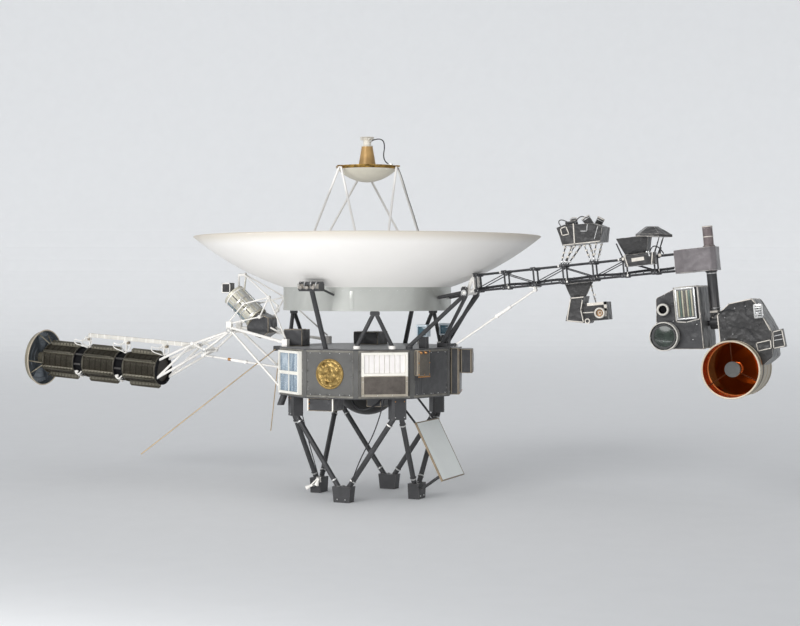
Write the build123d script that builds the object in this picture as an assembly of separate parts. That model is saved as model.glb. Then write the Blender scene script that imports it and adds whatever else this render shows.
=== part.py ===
from build123d import *
import os
from math import cos, hypot, radians, sin, sqrt, tan

# Deep-space probe on its launch-adapter truss, with both booms deployed.
# Millimetres. +Z is the dish's boresight, +X runs under the science boom, -X under the generator boom.
# The origin is on the dish axis, in the plane of the four adapter feet.

# Clearances between pieces, and between a shaft and its bore
seat = 0.3
bore_clearance = 0.05

# Ten-sided bus, with a corner on +X
bus_flats = 1780
bus_bottom = 1105
bus_height = 500
bus_sides = 10
cover_thickness = 12
panel_thickness = 18
panel_half_width = 260
panel_height = 440
bay_inner_apothem = 400
bay_gap = 4
post_setback = 262

# Spherical propellant tank in the middle of the bus
tank_radius = 355
tank_centre_height = 1235
tank_skirt_thickness = 20
tank_hole_radius = 375

# Thermal louvers on two bays
louver_width = 470
louver_height = 440
louver_depth = 40
louver_border = 24
louver_blades = 8
louver_blade_thickness = 5
louver_blade_turn = 14

# Gilded disc on one bay
disc_radius = 153
disc_thickness = 9

# Adapter truss under the bus
foot_circle = 570
foot_width = 210
foot_depth = 120
foot_height = 190
foot_taper = 22
foot_hole_radius = 12
adapter_strut_radius = 27
adapter_collar_radius = 33
adapter_collar_length = 16
node_circle = 780
node_turn = 42
node_width = 160
node_depth = 130
node_height = 215
strut_spread = 48
foot_strut_spread = 66

# White target plate beside the +X foot
plate_length = 650
plate_width = 600
plate_thickness = 18
plate_tilt = 27.0
plate_top = (690, 845)
plate_strut_radius = 11

# Main reflector, with its ring
dish_radius = 1830
dish_vertex = 2086
dish_focal = 1228
dish_thickness = 19
dish_lip = 9
ring_radius = 885
ring_thickness = 18
ring_bottom = 1987

# Truss between bus and ring
truss_strut_radius = 21
truss_foot_turn = 12
truss_foot_circle = 880

# Subreflector and upper feed on six legs
sub_height = 3490
sub_radius = 318
sub_depth = 155
sub_mid_radius = 185
sub_mid_rise = 46
sub_rim_radius = 332
sub_rim_thickness = 13
sub_leg_radius = 12
sub_apex_circle = 345
sub_foot_circle = 850
sub_foot_turn = 5
sub_tab_radius = 26
horn_base_radius = 94
horn_top_radius = 57
horn_height = 218
horn_neck_radius = 42
horn_neck_height = 64
horn_flange_radius = 71
centre_feed_radius = 78
centre_feed_height = 235

# Science boom: hinge at its lower root, raised by its tilt
science_hinge = (1170, 0, 2172)
science_tilt = 5.5
science_width = 150
science_depth = 180
longeron_radius = 9
frame_first = 98
frame_pitch = 308
frame_count = 7
frame_thickness = 14
frame_bar = 16
frame_block = 30
diagonal_radius = 5
science_shaft_radius = 15
science_lug_offset = 170
science_lug_width = 40
root_tube_radius = 18

# Azimuth housing and mast, in the boom's own axes
housing_start = 2145
housing_shoulder = 2235
housing_end = 2548
housing_half_width = 130
housing_bottom = -20
housing_top = 206
mast_place = 2472
mast_radius = 48
mast_top = 408
mast_wall = 5
elevation_drop = 520
actuator_radius = 62
actuator_length = 100
platform_shaft_radius = 26
camera_gap = 30
group_gap = 6

# Infrared telescope on the platform: its axis, in the boom's own x and z, its shell and its mirror
infrared_x = 2634
infrared_z = -968
infrared_radius = 267
infrared_front = 350
infrared_back = 250
infrared_wall = 9
infrared_band = 6
mirror_radius = 246
mirror_rim = 150
mirror_vertex = 60
secondary_radius = 73

# Generator boom: hinge on its outrigger
generator_hinge = (-1620, 0, 1753)
generator_tilt = 3.8
generator_axis_start = (-2550, 1292)
generator_length = 440
generator_pitch = 556
generator_case = 152
generator_flat = 144
generator_flange = 168
generator_flange_thickness = 16
generator_fin_tip = 213
generator_fin_thickness = 6
generator_fins = 6
generator_count = 3
coupling_radius = 146
shield_radius = 322
shield_floor_radius = 300
shield_hub = 66
shield_gap = 78
shield_depth = 55
shield_wall = 6
shield_strut_radius = 7
generator_shaft_radius = 15
generator_lug_offset = 105
generator_lug_width = 40
boom_tube_radius = 13
tray_width = 40
tray_height = 46

# Folding braces: (fixed end, middle, boom end), in X and Z
science_brace = ((1003, 1634), (1459, 1933), (1865, 2200))
generator_brace = ((-1050, 1356), (-1469, 1404), (-2012, 1467))
brace_radius = 11
brace_pin_radius = 7
brace_eye_radius = 19
brace_eye_width = 20
brace_cheek = 8
brace_fork_length = 170
brace_gap = 2

# Two whip antennas in a right-angled vee
whip_root = (-1075, 0, 1575)
whip_length = 1900
whip_radius = 6
whip_out = -0.444
whip_side = 0.7071
whip_down = -0.55

# Magnetometer canister
canister_low = (-1333, 1885)
canister_high = (-1623, 2142)
canister_radius = 125

# Tube cage round the canister: knots on each side, as (X, Y, Z)
cage_apex = (-1087, 180, 2117)
cage_knot = (-1406, 165, 2046)
cage_collar = (-1205, 170, 1905)
cage_top = (-1470, 2362)
cage_tube_radius = 8

half = bus_flats / 2
bus_top = bus_bottom + bus_height
bus_middle = bus_bottom + bus_height / 2
half_turn = 180 / bus_sides
corner_radius = half / cos(radians(half_turn))
post_out = half * cos(radians(half_turn)) + post_setback * sin(radians(half_turn))
parts = {}


def polar(radius, turn, height=0.0):
    """A point at that radius and angle about the dish axis."""
    return Vector(radius * cos(radians(turn)), radius * sin(radians(turn)), height)


def rod(start, end, radius):
    """A round bar between two points."""
    start, end = Vector(start), Vector(end)
    return Solid.make_cylinder(radius, (end - start).length, Plane(origin=start, z_dir=end - start))


def slab(low, high):
    """A block between two opposite corners."""
    low, high = Vector(low), Vector(high)
    size, middle = high - low, (high + low) / 2
    return Pos(middle.X, middle.Y, middle.Z) * Box(size.X, size.Y, size.Z)


def faced_rod(start, end, radius, start_face, end_face):
    """A square-ended bar between two flat faces, given by their normals, just clear of both."""
    start, end = Vector(start), Vector(end)
    direction = (end - start).normalized()
    short = []
    for face in (start_face, end_face):
        facing = abs(direction.dot(Vector(face).normalized()))
        short.append((radius * sqrt(1 - facing * facing) + seat) / facing)
    return rod(start + direction * short[0], end - direction * short[1], radius)


def knot_rod(start, knot, radius, face):
    """A bar from a flat face into a knot."""
    start, knot = Vector(start), Vector(knot)
    return faced_rod(start, knot, radius, face, knot - start)


def level_strut(start, end, radius, collar=0.0, collar_at=0.0):
    """A strut whose two ends are cut level, with a collar near each end where one is asked for."""
    start, end = Vector(start), Vector(end)
    along = (end - start).normalized()
    spare = along * (3 * radius)
    body = rod(start - spare, end + spare, radius)
    if collar:
        for place in (start + along * collar_at, end - along * collar_at):
            half_ring = along * (adapter_collar_length / 2)
            body = body + rod(place - half_ring, place + half_ring, collar)
    low, high = sorted((start.Z, end.Z))
    wide = 3000
    return body & slab((-wide, -wide, low + seat), (wide, wide, high - seat))


def facet(turn, height=bus_middle, out=half):
    """The plane of a bus side: x runs along the side, y is up and z points outwards."""
    t = radians(turn)
    return Plane(
        origin=(out * cos(t), out * sin(t), height),
        x_dir=(-sin(t), cos(t), 0),
        z_dir=(cos(t), sin(t), 0),
    )


def on(plane, shape):
    """The shape moved from the origin into that plane's own axes."""
    return plane.location * shape


def arc_height(points, radius):
    """The height of the circle through three (radius, height) points, at that radius."""
    (ax, ay), (bx, by), (cx, cy) = points
    d = 2 * (ax * (by - cy) + bx * (cy - ay) + cx * (ay - by))
    a2, b2, c2 = ax * ax + ay * ay, bx * bx + by * by, cx * cx + cy * cy
    ux = (a2 * (by - cy) + b2 * (cy - ay) + c2 * (ay - by)) / d
    uy = (a2 * (cx - bx) + b2 * (ax - cx) + c2 * (bx - ax)) / d
    return uy - sqrt(hypot(ax - ux, ay - uy) ** 2 - (radius - ux) ** 2)


def spun(outline):
    """A closed outline of (radius, height) pieces spun about the dish axis."""
    return revolve(make_face(outline), Axis.Z, 360)


def ring_of(shape, turns):
    """Copies of a shape turned about the dish axis."""
    return [Rot(0, 0, turn) * shape for turn in turns]


# Bus: ten bays, their panels and corner posts, and two covers
side_turns = [half_turn + 360 / bus_sides * k for k in range(bus_sides)]
corner_turns = [360 / bus_sides * k for k in range(bus_sides)]
bay_out = half - panel_thickness - seat
slope = tan(radians(half_turn))


def between_covers(points):
    """That outline from one bus cover to the other."""
    height = bus_height - 2 * (cover_thickness + seat)
    outline = make_face(Polyline(*points, close=True))
    return Pos(0, 0, bus_bottom + cover_thickness + seat) * extrude(outline, height)


def bay():
    """One electronics bay, a wedge between the tank's well and the outer panel."""
    inner, outer = bay_inner_apothem, bay_out
    points = [
        (inner, -inner * slope + bay_gap / 2),
        (outer, -outer * slope + bay_gap / 2),
        (outer, outer * slope - bay_gap / 2),
        (inner, inner * slope - bay_gap / 2),
    ]
    return between_covers(points)


def panel():
    """The flat outer plate of one bay."""
    depth = panel_thickness
    return on(facet(0, out=half - depth / 2), Box(2 * panel_half_width, panel_height, depth))


def post():
    """The corner post between two panels, with a flat outer face."""
    out, inner = half, half - panel_thickness
    back, front = Vector(1, 0).rotate(Axis.Z, -half_turn), Vector(1, 0).rotate(Axis.Z, half_turn)
    side_back, side_front = Vector(0, 1).rotate(Axis.Z, -half_turn), Vector(0, 1).rotate(Axis.Z, half_turn)
    points = [
        back * out + side_back * post_setback,
        front * out - side_front * post_setback,
        front * inner - side_front * post_setback,
        Vector(inner / cos(radians(half_turn)), 0),
        back * inner + side_back * post_setback,
    ]
    return between_covers(points)


def decagon(apothem, thickness, height):
    """A flat ten-sided plate with a corner on +X, from that height upwards."""
    outline = RegularPolygon(apothem, bus_sides, major_radius=False)
    return Pos(0, 0, height) * extrude(outline, thickness)


parts["electronics_bays"] = ring_of(bay(), side_turns)
parts["bay_panels"] = ring_of(panel(), side_turns)
parts["corner_posts"] = ring_of(post(), corner_turns)
tank_hole = Pos(0, 0, bus_bottom) * Cylinder(tank_hole_radius, 4 * cover_thickness)
parts["bus_covers"] = [
    decagon(half, cover_thickness, bus_top - cover_thickness),
    decagon(half, cover_thickness, bus_bottom) - tank_hole,
]
skirt = Cylinder(bay_inner_apothem - seat, tank_skirt_thickness)
parts["propellant_tank"] = [Pos(0, 0, tank_centre_height) * (Sphere(tank_radius) + skirt)]


# Louvers on two bays, with two rows of upright blades each
louver_turns = (-54, -126)
window_width = louver_width - 2 * louver_border
window_height = (louver_height - 3 * louver_border) / 2
blade_pitch = window_width / louver_blades


def louver_frame():
    frame = Pos(0, 0, louver_depth / 2) * Box(louver_width, louver_height, louver_depth)
    for side in (-1, 1):
        place = side * (window_height + louver_border) / 2
        frame -= Pos(0, place, louver_depth / 2) * Box(window_width, window_height, 2 * louver_depth)
    return frame


def louver_row(side):
    blades = []
    for k in range(louver_blades):
        across = (k + 0.5) * blade_pitch - window_width / 2
        blade = Box(blade_pitch * 0.9, window_height - 2 * seat, louver_blade_thickness)
        place = Pos(across, side * (window_height + louver_border) / 2, louver_depth / 2)
        blades.append(place * Rot(0, louver_blade_turn, 0) * blade)
    return blades


parts["louver_frames"] = [on(facet(turn, out=half + seat), louver_frame()) for turn in louver_turns]
parts["louver_blades"] = [
    on(facet(turn, out=half + seat), blade)
    for turn in louver_turns
    for side in (-1, 1)
    for blade in louver_row(side)
]

# Gilded disc, with its hub and rim
disc = Cylinder(disc_radius, disc_thickness) + Pos(0, 0, disc_thickness / 2) * Cylinder(18, 8)
disc -= Pos(0, 0, disc_thickness / 2) * (Cylinder(disc_radius - 6, 3) - Cylinder(disc_radius - 40, 4))
parts["gilded_disc"] = [on(facet(-90, out=half + seat), Pos(0, 0, disc_thickness / 2) * disc)]

# Boxes on the bus: (side, along, up from the middle, outwards from, size along, up and out)
side_boxes = [
    (-18, -174, 110, 0, 190, 260, 60),
    (18, 0, 0, 0, 440, 480, 100),
    (18, -20, 105, 100 + seat, 300, 250, 130),
]
parts["bus_boxes"] = [
    chamfer(box.edges().filter_by(Axis.Z), 14)
    for box in (
        on(facet(turn, out=half + seat), Pos(along, up, out + deep / 2) * Box(wide, tall, deep))
        for turn, along, up, out, wide, tall, deep in side_boxes
    )
]
parts["bus_boxes"] += [
    slab((-270, -850, bus_bottom - 132), (20, -600, bus_bottom - seat)),
    slab((270, -600, bus_bottom - 90), (430, -420, bus_bottom - seat)),
    slab((-190, 560, bus_bottom - 110), (160, 780, bus_bottom - seat)),
]
parts["bus_boxes"] += [
    slab((-780, -415, bus_top + seat), (-560, -230, bus_top + 180)),
    slab((-330, 350, bus_top + seat), (-40, 620, bus_top + 140)),
]


# Adapter truss: four feet, four node blocks and eight struts
def foot():
    """A tapered foot block with a bolt hole down through it."""
    low = Rectangle(foot_depth, foot_width - 2 * foot_taper)
    high = Pos(0, 0, foot_height) * Rectangle(foot_depth, foot_width)
    block = loft([low, high])
    return Pos(foot_circle, 0, 0) * (block - Cylinder(foot_hole_radius, 3 * foot_height))


node_turns = (node_turn, 180 - node_turn, 180 + node_turn, 360 - node_turn)
node_low = bus_bottom - node_height
parts["adapter_feet"] = ring_of(foot(), (0, 90, 180, 270))
node_tall = node_height - seat
node_block = Pos(node_circle, 0, node_low + node_tall / 2) * Box(node_depth, node_width, node_tall)
parts["adapter_nodes"] = ring_of(chamfer(node_block.edges().filter_by(Axis.Z), 20), node_turns)


def adapter_strut(foot_turn, side):
    """From one foot to the node block on that side of it."""
    corner = foot_turn + side * (node_turn if foot_turn % 180 == 0 else 90 - node_turn)
    across_foot = polar(side * foot_strut_spread, foot_turn + 90)
    across_node = polar(-side * strut_spread, corner + 90)
    low = polar(foot_circle, foot_turn, foot_height) + across_foot
    high = polar(node_circle, corner, node_low) + across_node
    return level_strut(low, high, adapter_strut_radius, adapter_collar_radius, 70)


parts["adapter_struts"] = [adapter_strut(turn, side) for turn in (0, 90, 180, 270) for side in (-1, 1)]

# Target plate, leaning outwards towards the scan platform, on struts from the +X foot and the bus
plate_frame = Plane(
    origin=(plate_top[0], 0, plate_top[1]),
    x_dir=(sin(radians(plate_tilt)), 0, -cos(radians(plate_tilt))),
    z_dir=(cos(radians(plate_tilt)), 0, sin(radians(plate_tilt))),
)
plate = Pos(plate_length / 2, 0, -plate_thickness / 2) * Box(plate_length, plate_width, plate_thickness)
parts["target_plate"] = [on(plate_frame, plate)]


def plate_strut(along, across, start, start_face):
    """From a face of the truss or bus to the plate's back."""
    end = plate_frame.from_local_coords(Vector(along, across, -plate_thickness))
    return faced_rod(start, end, plate_strut_radius, start_face, plate_frame.z_dir)


parts["target_plate_struts"] = [
    plate_strut(560, side * 40, (foot_circle + foot_depth / 2, side * 40, foot_height - 60), (1, 0, 0))
    for side in (-1, 1)
] + [plate_strut(50, side * 250, (430, side * 250, bus_bottom), (0, 0, 1)) for side in (-1, 1)]

# Main reflector: inner and outer surfaces are arcs, with a thin lip


def bowl(radius):
    """The height of the inner surface at that radius."""
    return dish_vertex + radius * radius / (4 * dish_focal)


dish_rim = bowl(dish_radius - dish_lip)
inner_arc = [(0, dish_vertex), (dish_radius / 2, bowl(dish_radius / 2)), (dish_radius - dish_lip, dish_rim)]
outer_arc = [
    (0, dish_vertex - dish_thickness),
    (dish_radius / 2 + 5, bowl(dish_radius / 2) - dish_thickness + 2),
    (dish_radius, dish_rim - dish_thickness / 2),
]


def upright(points):
    """Points of (radius, height) in the XZ plane."""
    return [Vector(r, 0, z) for r, z in points]


inner, outer = upright(inner_arc), upright(outer_arc)
dish_outline = [
    ThreePointArc(*inner),
    Line(inner[2], outer[2]),
    ThreePointArc(*outer),
    Line(outer[0], inner[0]),
]
parts["dish_reflector"] = [spun(dish_outline)]


def under_dish(radius):
    return arc_height(outer_arc, radius)


def in_dish(radius):
    return arc_height(inner_arc, radius)


ring_inner = ring_radius - ring_thickness
ring_outline = Polyline(
    *upright([
        (ring_inner, ring_bottom),
        (ring_radius, ring_bottom),
        (ring_radius, under_dish(ring_radius) - seat * 2),
        (ring_inner, under_dish(ring_inner) - seat * 2),
    ]),
    close=True,
)
parts["dish_ring"] = [spun(ring_outline)]

# Truss between the bus and the ring: three pairs of struts, with a fitting at each end
apex_turns = (60, 180, 300)
apex_drop = 44
apex_radius = ring_radius - ring_thickness / 2
apex_block = Pos(apex_radius, 0, ring_bottom - apex_drop / 2 - seat) * Box(44, 96, apex_drop)
parts["truss_fittings"] = ring_of(fillet(apex_block.edges().filter_by(Axis.X), 14), apex_turns)
pad_height = 26
pad = Pos(truss_foot_circle - 24, 0, bus_top + seat + pad_height / 2) * Cylinder(33, pad_height)
parts["truss_fittings"] += [
    piece
    for turn in apex_turns
    for piece in ring_of(pad, (turn - truss_foot_turn, turn + truss_foot_turn))
]


def truss_pair(turn):
    struts = []
    for side in (-1, 1):
        low = polar(truss_foot_circle - 24, turn + side * truss_foot_turn, bus_top + pad_height + seat)
        high = polar(apex_radius, turn, ring_bottom - apex_drop - seat) + polar(side * 23, turn + 90)
        struts.append(level_strut(low, high, truss_strut_radius))
    return struts


parts["truss_struts"] = [strut for turn in apex_turns for strut in truss_pair(turn)]

# Subreflector with its gilt rim, six legs and the upper feed
sub_low = sub_height - sub_depth
sub_edge = sub_height - 12
sub_outline = [
    ThreePointArc(*upright([(0, sub_low), (sub_mid_radius, sub_low + sub_mid_rise), (sub_radius, sub_edge)])),
    Polyline(*upright([(sub_radius, sub_edge), (sub_radius, sub_height), (0, sub_height), (0, sub_low)])),
]
parts["subreflector"] = [spun(sub_outline)]
rim_low = sub_height + seat
rim_plate = Pos(0, 0, rim_low + sub_rim_thickness / 2) * Cylinder(sub_rim_radius, sub_rim_thickness)
sub_turns = (0, 120, 240)
for turn in sub_turns:
    tab = polar(sub_apex_circle, turn, rim_low + sub_rim_thickness / 2)
    rim_plate += Pos(tab.X, tab.Y, tab.Z) * Cylinder(sub_tab_radius + 6, sub_rim_thickness)
parts["subreflector_rim"] = [rim_plate]


def sub_leg(turn, side):
    """From a tab of the rim down to the dish, a little short of the next leg's foot."""
    foot_turn = turn + side * (60 - sub_foot_turn)
    high = polar(sub_apex_circle, turn, rim_low) + polar(side * (sub_leg_radius + 2), turn + 90)
    low = polar(sub_foot_circle, foot_turn, in_dish(sub_foot_circle + sub_leg_radius + 2))
    return level_strut(low, high, sub_leg_radius)


parts["subreflector_legs"] = [sub_leg(turn, side) for turn in sub_turns for side in (-1, 1)]
horn_base = rim_low + sub_rim_thickness + seat
neck_base = horn_base + horn_height
flange_base = neck_base + horn_neck_height
horn_outline = Polyline(
    *upright([
        (0, horn_base),
        (horn_base_radius, horn_base),
        (horn_top_radius, neck_base),
        (horn_neck_radius, neck_base),
        (horn_neck_radius, flange_base),
        (horn_flange_radius, flange_base),
        (horn_flange_radius, flange_base + 9),
        (horn_neck_radius - 4, flange_base + 9),
        (horn_neck_radius - 4, flange_base + 28),
        (0, flange_base + 28),
    ]),
    close=True,
)
parts["upper_feed"] = [spun(horn_outline)]
feed_base = in_dish(centre_feed_radius + 30) + seat
feed_outline = Polyline(
    *upright([
        (0, feed_base),
        (centre_feed_radius + 30, feed_base),
        (centre_feed_radius + 30, feed_base + 16),
        (centre_feed_radius - 22, feed_base + 16),
        (centre_feed_radius - 22, feed_base + centre_feed_height * 0.55),
        (centre_feed_radius, feed_base + centre_feed_height),
        (centre_feed_radius - 12, feed_base + centre_feed_height),
        (centre_feed_radius - 32, feed_base + centre_feed_height * 0.6),
        (0, feed_base + centre_feed_height * 0.6),
    ]),
    close=True,
)
parts["centre_feed"] = [spun(feed_outline)]

# Thruster clusters under the dish on both sides, each on a leaning strut and a tie to the ring
cluster_place = Vector(-60, -1185, 2236)
thruster_radius = 17


def cluster():
    body = Pos(0, 0, 0) * Box(230, 130, 96)
    body = chamfer(body.edges().filter_by(Axis.X), 26)
    for across in (-70, 0, 70):
        nozzle = Pos(across, -65 - 16, -12) * Rot(90, 0, 0) * Cone(thruster_radius * 0.55, thruster_radius, 34)
        body += nozzle
    return Pos(cluster_place.X, cluster_place.Y, cluster_place.Z) * body


cluster_low = cluster_place.Z - 48
tie_height = cluster_place.Z - 20
cluster_head = (cluster_place.X, cluster_place.Y + 20, cluster_low)
cluster_strut = level_strut((-67, -850, bus_top), cluster_head, 25)
tie_start = polar(ring_radius, -87.4, 2150)
tie_end = (cluster_place.X + 70, cluster_place.Y + 65, tie_height)
cluster_tie = faced_rod(tie_start, tie_end, 11, (0.045, -1, 0), (0, 1, 0))
parts["thruster_clusters"] = ring_of(cluster(), (0, 180))
parts["thruster_clusters"] += ring_of(cluster_strut, (0, 180)) + ring_of(cluster_tie, (0, 180))

# Star trackers: square cases with open hoods, on stands beside the boom's outrigger, and a corner thruster
tracker_place = (775, 300)
tracker_half = 54
tracker_low = bus_top + 120
tracker_high = bus_top + 235
trackers = []
for side in (-1, 1):
    x, y = tracker_place[0], side * tracker_place[1]
    low = (x - tracker_half, y - tracker_half, tracker_low)
    high = (x + tracker_half, y + tracker_half, tracker_high)
    stand = slab((x - 40, y - 36, bus_top + seat), (x + 40, y + 36, tracker_low))
    case = slab(low, high)
    hood = slab(
        (x - tracker_half + 10, y - tracker_half - 1, tracker_low + 12),
        (x + tracker_half - 10, y - tracker_half + 40, tracker_high - 12),
    )
    trackers.append(stand + case - hood)
parts["star_trackers"] = trackers
corner_top, corner_mouth = Vector(-740, -470, bus_bottom), Vector(-775, -492, bus_bottom - 115)
corner_nozzle = level_strut(corner_top, corner_mouth, 36)
corner_line = corner_mouth - corner_top
corner_nozzle -= rod(corner_top + corner_line * 0.65, corner_mouth + corner_line * 0.2, 28)
parts["thruster_clusters"] += [corner_nozzle]


# Pivots of the folding braces
def brace_eye(centre, width):
    """A flat round eye with a running bore, its pin along Y."""
    x, z = centre
    eye = rod((x, -width / 2, z), (x, width / 2, z), brace_eye_radius)
    return eye - rod((x, -width, z), (x, width, z), brace_pin_radius + bore_clearance)


def brace_ears(centre, root):
    """Two ears and their pin, reaching back from the eye to the root point."""
    inside = brace_eye_width / 2 + brace_gap
    outside = inside + brace_cheek
    reach = Vector(centre[0], 0, centre[1]) - Vector(root[0], 0, root[1])
    body = rod((centre[0], -outside, centre[1]), (centre[0], outside, centre[1]), brace_pin_radius)
    for side in (-1, 1):
        near, far = side * inside, side * outside
        body += rod((centre[0], near, centre[1]), (centre[0], far, centre[1]), brace_eye_radius)
        bar = Plane(origin=(root[0], (near + far) / 2, root[1]), x_dir=(0, 1, 0), z_dir=reach)
        body += on(bar, Pos(0, 0, reach.length / 2) * Box(brace_cheek, 1.6 * brace_eye_radius, reach.length))
    return body


def toward(start, end, distance):
    """The point that far from start on the way to end, in X and Z."""
    gap = hypot(end[0] - start[0], end[1] - start[1])
    return (start[0] + (end[0] - start[0]) * distance / gap, start[1] + (end[1] - start[1]) * distance / gap)


def link(start, end):
    """A brace link with an eye at each end."""
    a = toward(start, end, brace_eye_radius * 0.7)
    b = toward(end, start, brace_eye_radius * 0.7)
    bar = rod((a[0], 0, a[1]), (b[0], 0, b[1]), brace_radius)
    return brace_eye(start, brace_eye_width) + brace_eye(end, brace_eye_width) + bar


def forked_link(start, end):
    """A brace link with an eye at its start and a long fork at its end, which carries the middle pin."""
    a = toward(start, end, brace_eye_radius * 0.7)
    b = toward(end, start, brace_fork_length)
    inside = brace_eye_width / 2 + brace_gap
    body = brace_eye(start, brace_eye_width) + rod((a[0], 0, a[1]), (b[0], 0, b[1]), brace_radius)
    body += brace_fork(end, b, inside)
    return body


def brace_fork(end, root, inside):
    """Two cheeks joined by a bridge at the root, open at the pin end."""
    outside = inside + brace_cheek
    reach = Vector(end[0], 0, end[1]) - Vector(root[0], 0, root[1])
    frame = Plane(origin=(root[0], 0, root[1]), x_dir=(0, 1, 0), z_dir=reach)
    body = on(frame, Box(2 * outside, 26, 22))
    for side in (-1, 1):
        middle = side * (inside + outside) / 2
        body += on(frame, Pos(middle, 0, reach.length / 2) * Box(brace_cheek, 26, reach.length))
        body += rod((end[0], side * inside, end[1]), (end[0], side * outside, end[1]), brace_eye_radius)
    return body


# Science boom: outrigger and hinge fittings
hinge_x, hinge_z = science_hinge[0], science_hinge[2]
lug_low = hinge_z - 38
lug_high = hinge_z + 62


def science_lug(side):
    low = (hinge_x - 32, side * science_lug_offset - science_lug_width / 2, lug_low)
    high = (hinge_x + 26, side * science_lug_offset + science_lug_width / 2, lug_high)
    bore = rod((hinge_x, -400, hinge_z), (hinge_x, 400, hinge_z), science_shaft_radius + bore_clearance)
    block = slab(low, high)
    block = chamfer(block.edges().filter_by(Axis.Y).group_by(Axis.Z)[-1], 16)
    return block - bore


parts["science_outrigger"] = [science_lug(side) for side in (-1, 1)]
corner_pad_height = 46
corner_pad_top = bus_top + corner_pad_height
corner_pad = slab((corner_radius - 120, -46, bus_top + seat), (corner_radius - 6, 46, corner_pad_top))
science_pivot = science_brace[0]
corner_fitting = corner_pad + brace_ears(science_pivot, (corner_radius - 30, bus_top + 26))
side_pads = [
    Pos(*polar(corner_radius - 62, turn, bus_top + seat + pad_height / 2)) * Cylinder(36, pad_height)
    for turn in (-36, 36)
]
parts["science_outrigger"] += [corner_fitting] + side_pads
ties = []
for side in (-1, 1):
    top = Vector(hinge_x - 3, side * science_lug_offset, lug_low)
    ties.append(level_strut((corner_radius - 70, side * 24, corner_pad_top), top + Vector(14, -side * 7, 0), 19))
    pad_top = polar(corner_radius - 62, side * 36, bus_top + pad_height + seat)
    ties.append(level_strut(pad_top, top + Vector(-14, side * 5, 0), 21))
parts["science_outrigger"] += ties
arm_turn = 9.76
parts["science_outrigger"] += [
    faced_rod(
        polar(ring_radius, side * arm_turn, 2120),
        (hinge_x - 32, side * science_lug_offset, hinge_z),
        root_tube_radius,
        polar(1, side * arm_turn),
        (1, 0, 0),
    )
    for side in (-1, 1)
]

# Science boom in its own axes: x along the boom, z up, from the hinge line
boom = Plane(
    origin=science_hinge,
    x_dir=(cos(radians(science_tilt)), 0, sin(radians(science_tilt))),
    z_dir=(-sin(radians(science_tilt)), 0, cos(radians(science_tilt))),
)
frame_places = [frame_first + frame_pitch * k for k in range(frame_count)]
chord_half = science_width / 2
longeron_start = frame_first - frame_block / 2
longeron_end = housing_start - seat
chords = [(y, z) for y in (-chord_half, chord_half) for z in (longeron_radius, science_depth - longeron_radius)]
parts["science_boom_tubes"] = [
    on(boom, rod((longeron_start, y, z), (longeron_end, y, z), longeron_radius)) for y, z in chords
]


def boom_frame():
    """One cross frame: four bars and four corner blocks bored for the longerons."""
    low, high = longeron_radius, science_depth - longeron_radius
    middle = (low + high) / 2
    frame = Pos(0, 0, middle) * Box(frame_thickness, science_width, high - low)
    frame -= Pos(0, 0, middle) * Box(frame_bar, science_width - 2 * frame_bar, high - low - 2 * frame_bar * 0.8)
    for y, z in chords:
        frame += Pos(0, y, z) * Box(frame_block, 2 * longeron_radius + 8, 2 * longeron_radius + 8)
    for y, z in chords:
        frame -= rod((-frame_block, y, z), (frame_block, y, z), longeron_radius + seat)
    return frame


parts["science_boom_frames"] = [on(boom, Pos(x, 0, 0) * boom_frame()) for x in frame_places]


def bay_diagonals(x, flip):
    """One brace on each of the four faces of a bay, between the two frames and clear of their corner blocks."""
    start, end = x + frame_thickness / 2, x + frame_pitch - frame_thickness / 2
    along = (1, 0, 0)
    low, high = longeron_radius + 22, science_depth - longeron_radius - 22
    edge = chord_half - 22
    rods = []
    for side in (-1, 1):
        a, b = (low, high) if flip else (high, low)
        y = side * (chord_half - diagonal_radius)
        rods.append(faced_rod((start, y, a), (end, y, b), diagonal_radius, along, along))
    for z in (longeron_radius + 6, science_depth - longeron_radius - 6):
        a, b = (-edge, edge) if flip else (edge, -edge)
        rods.append(faced_rod((start, a, z), (end, b, z), diagonal_radius, along, along))
    return rods


parts["science_boom_tubes"] += [
    on(boom, piece)
    for k, x in enumerate(frame_places[:-1])
    for piece in bay_diagonals(x, k % 2 == 0)
]

# Root fitting: the hinge shaft, and arms to the four longerons
shaft_half = science_lug_offset + science_lug_width / 2
shaft = rod((0, -shaft_half, 0), (0, shaft_half, 0), science_shaft_radius)
root = shaft + rod((0, -130, 0), (0, 130, 0), 24)
face = longeron_start - seat
back = face - 16
root += slab((back, -chord_half - 14, -4), (face, chord_half + 14, 22))
root += slab((back, -chord_half - 14, science_depth - 22), (face, chord_half + 14, science_depth))
for side in (-1, 1):
    y = side * chord_half
    root += slab((back, y - 14, -4), (face, y + 14, science_depth))
    for z in (20, science_depth - 36):
        root += rod((0, side * 100, 0), (face - root_tube_radius - 2, y, z), root_tube_radius)
parts["science_boom_root"] = [on(boom, root)]

# Lug under the boom for the folding brace
brace_top = boom.to_local_coords(Vector(science_brace[2][0], 0, science_brace[2][1]))
brace_lug = slab((brace_top.X - 30, -chord_half - 16, -14), (brace_top.X + 34, chord_half + 16, -4 - seat))
ears = brace_ears((brace_top.X, brace_top.Z), (brace_top.X + 2, -8))
parts["science_boom_root"] += [on(boom, brace_lug + ears)]

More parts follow.
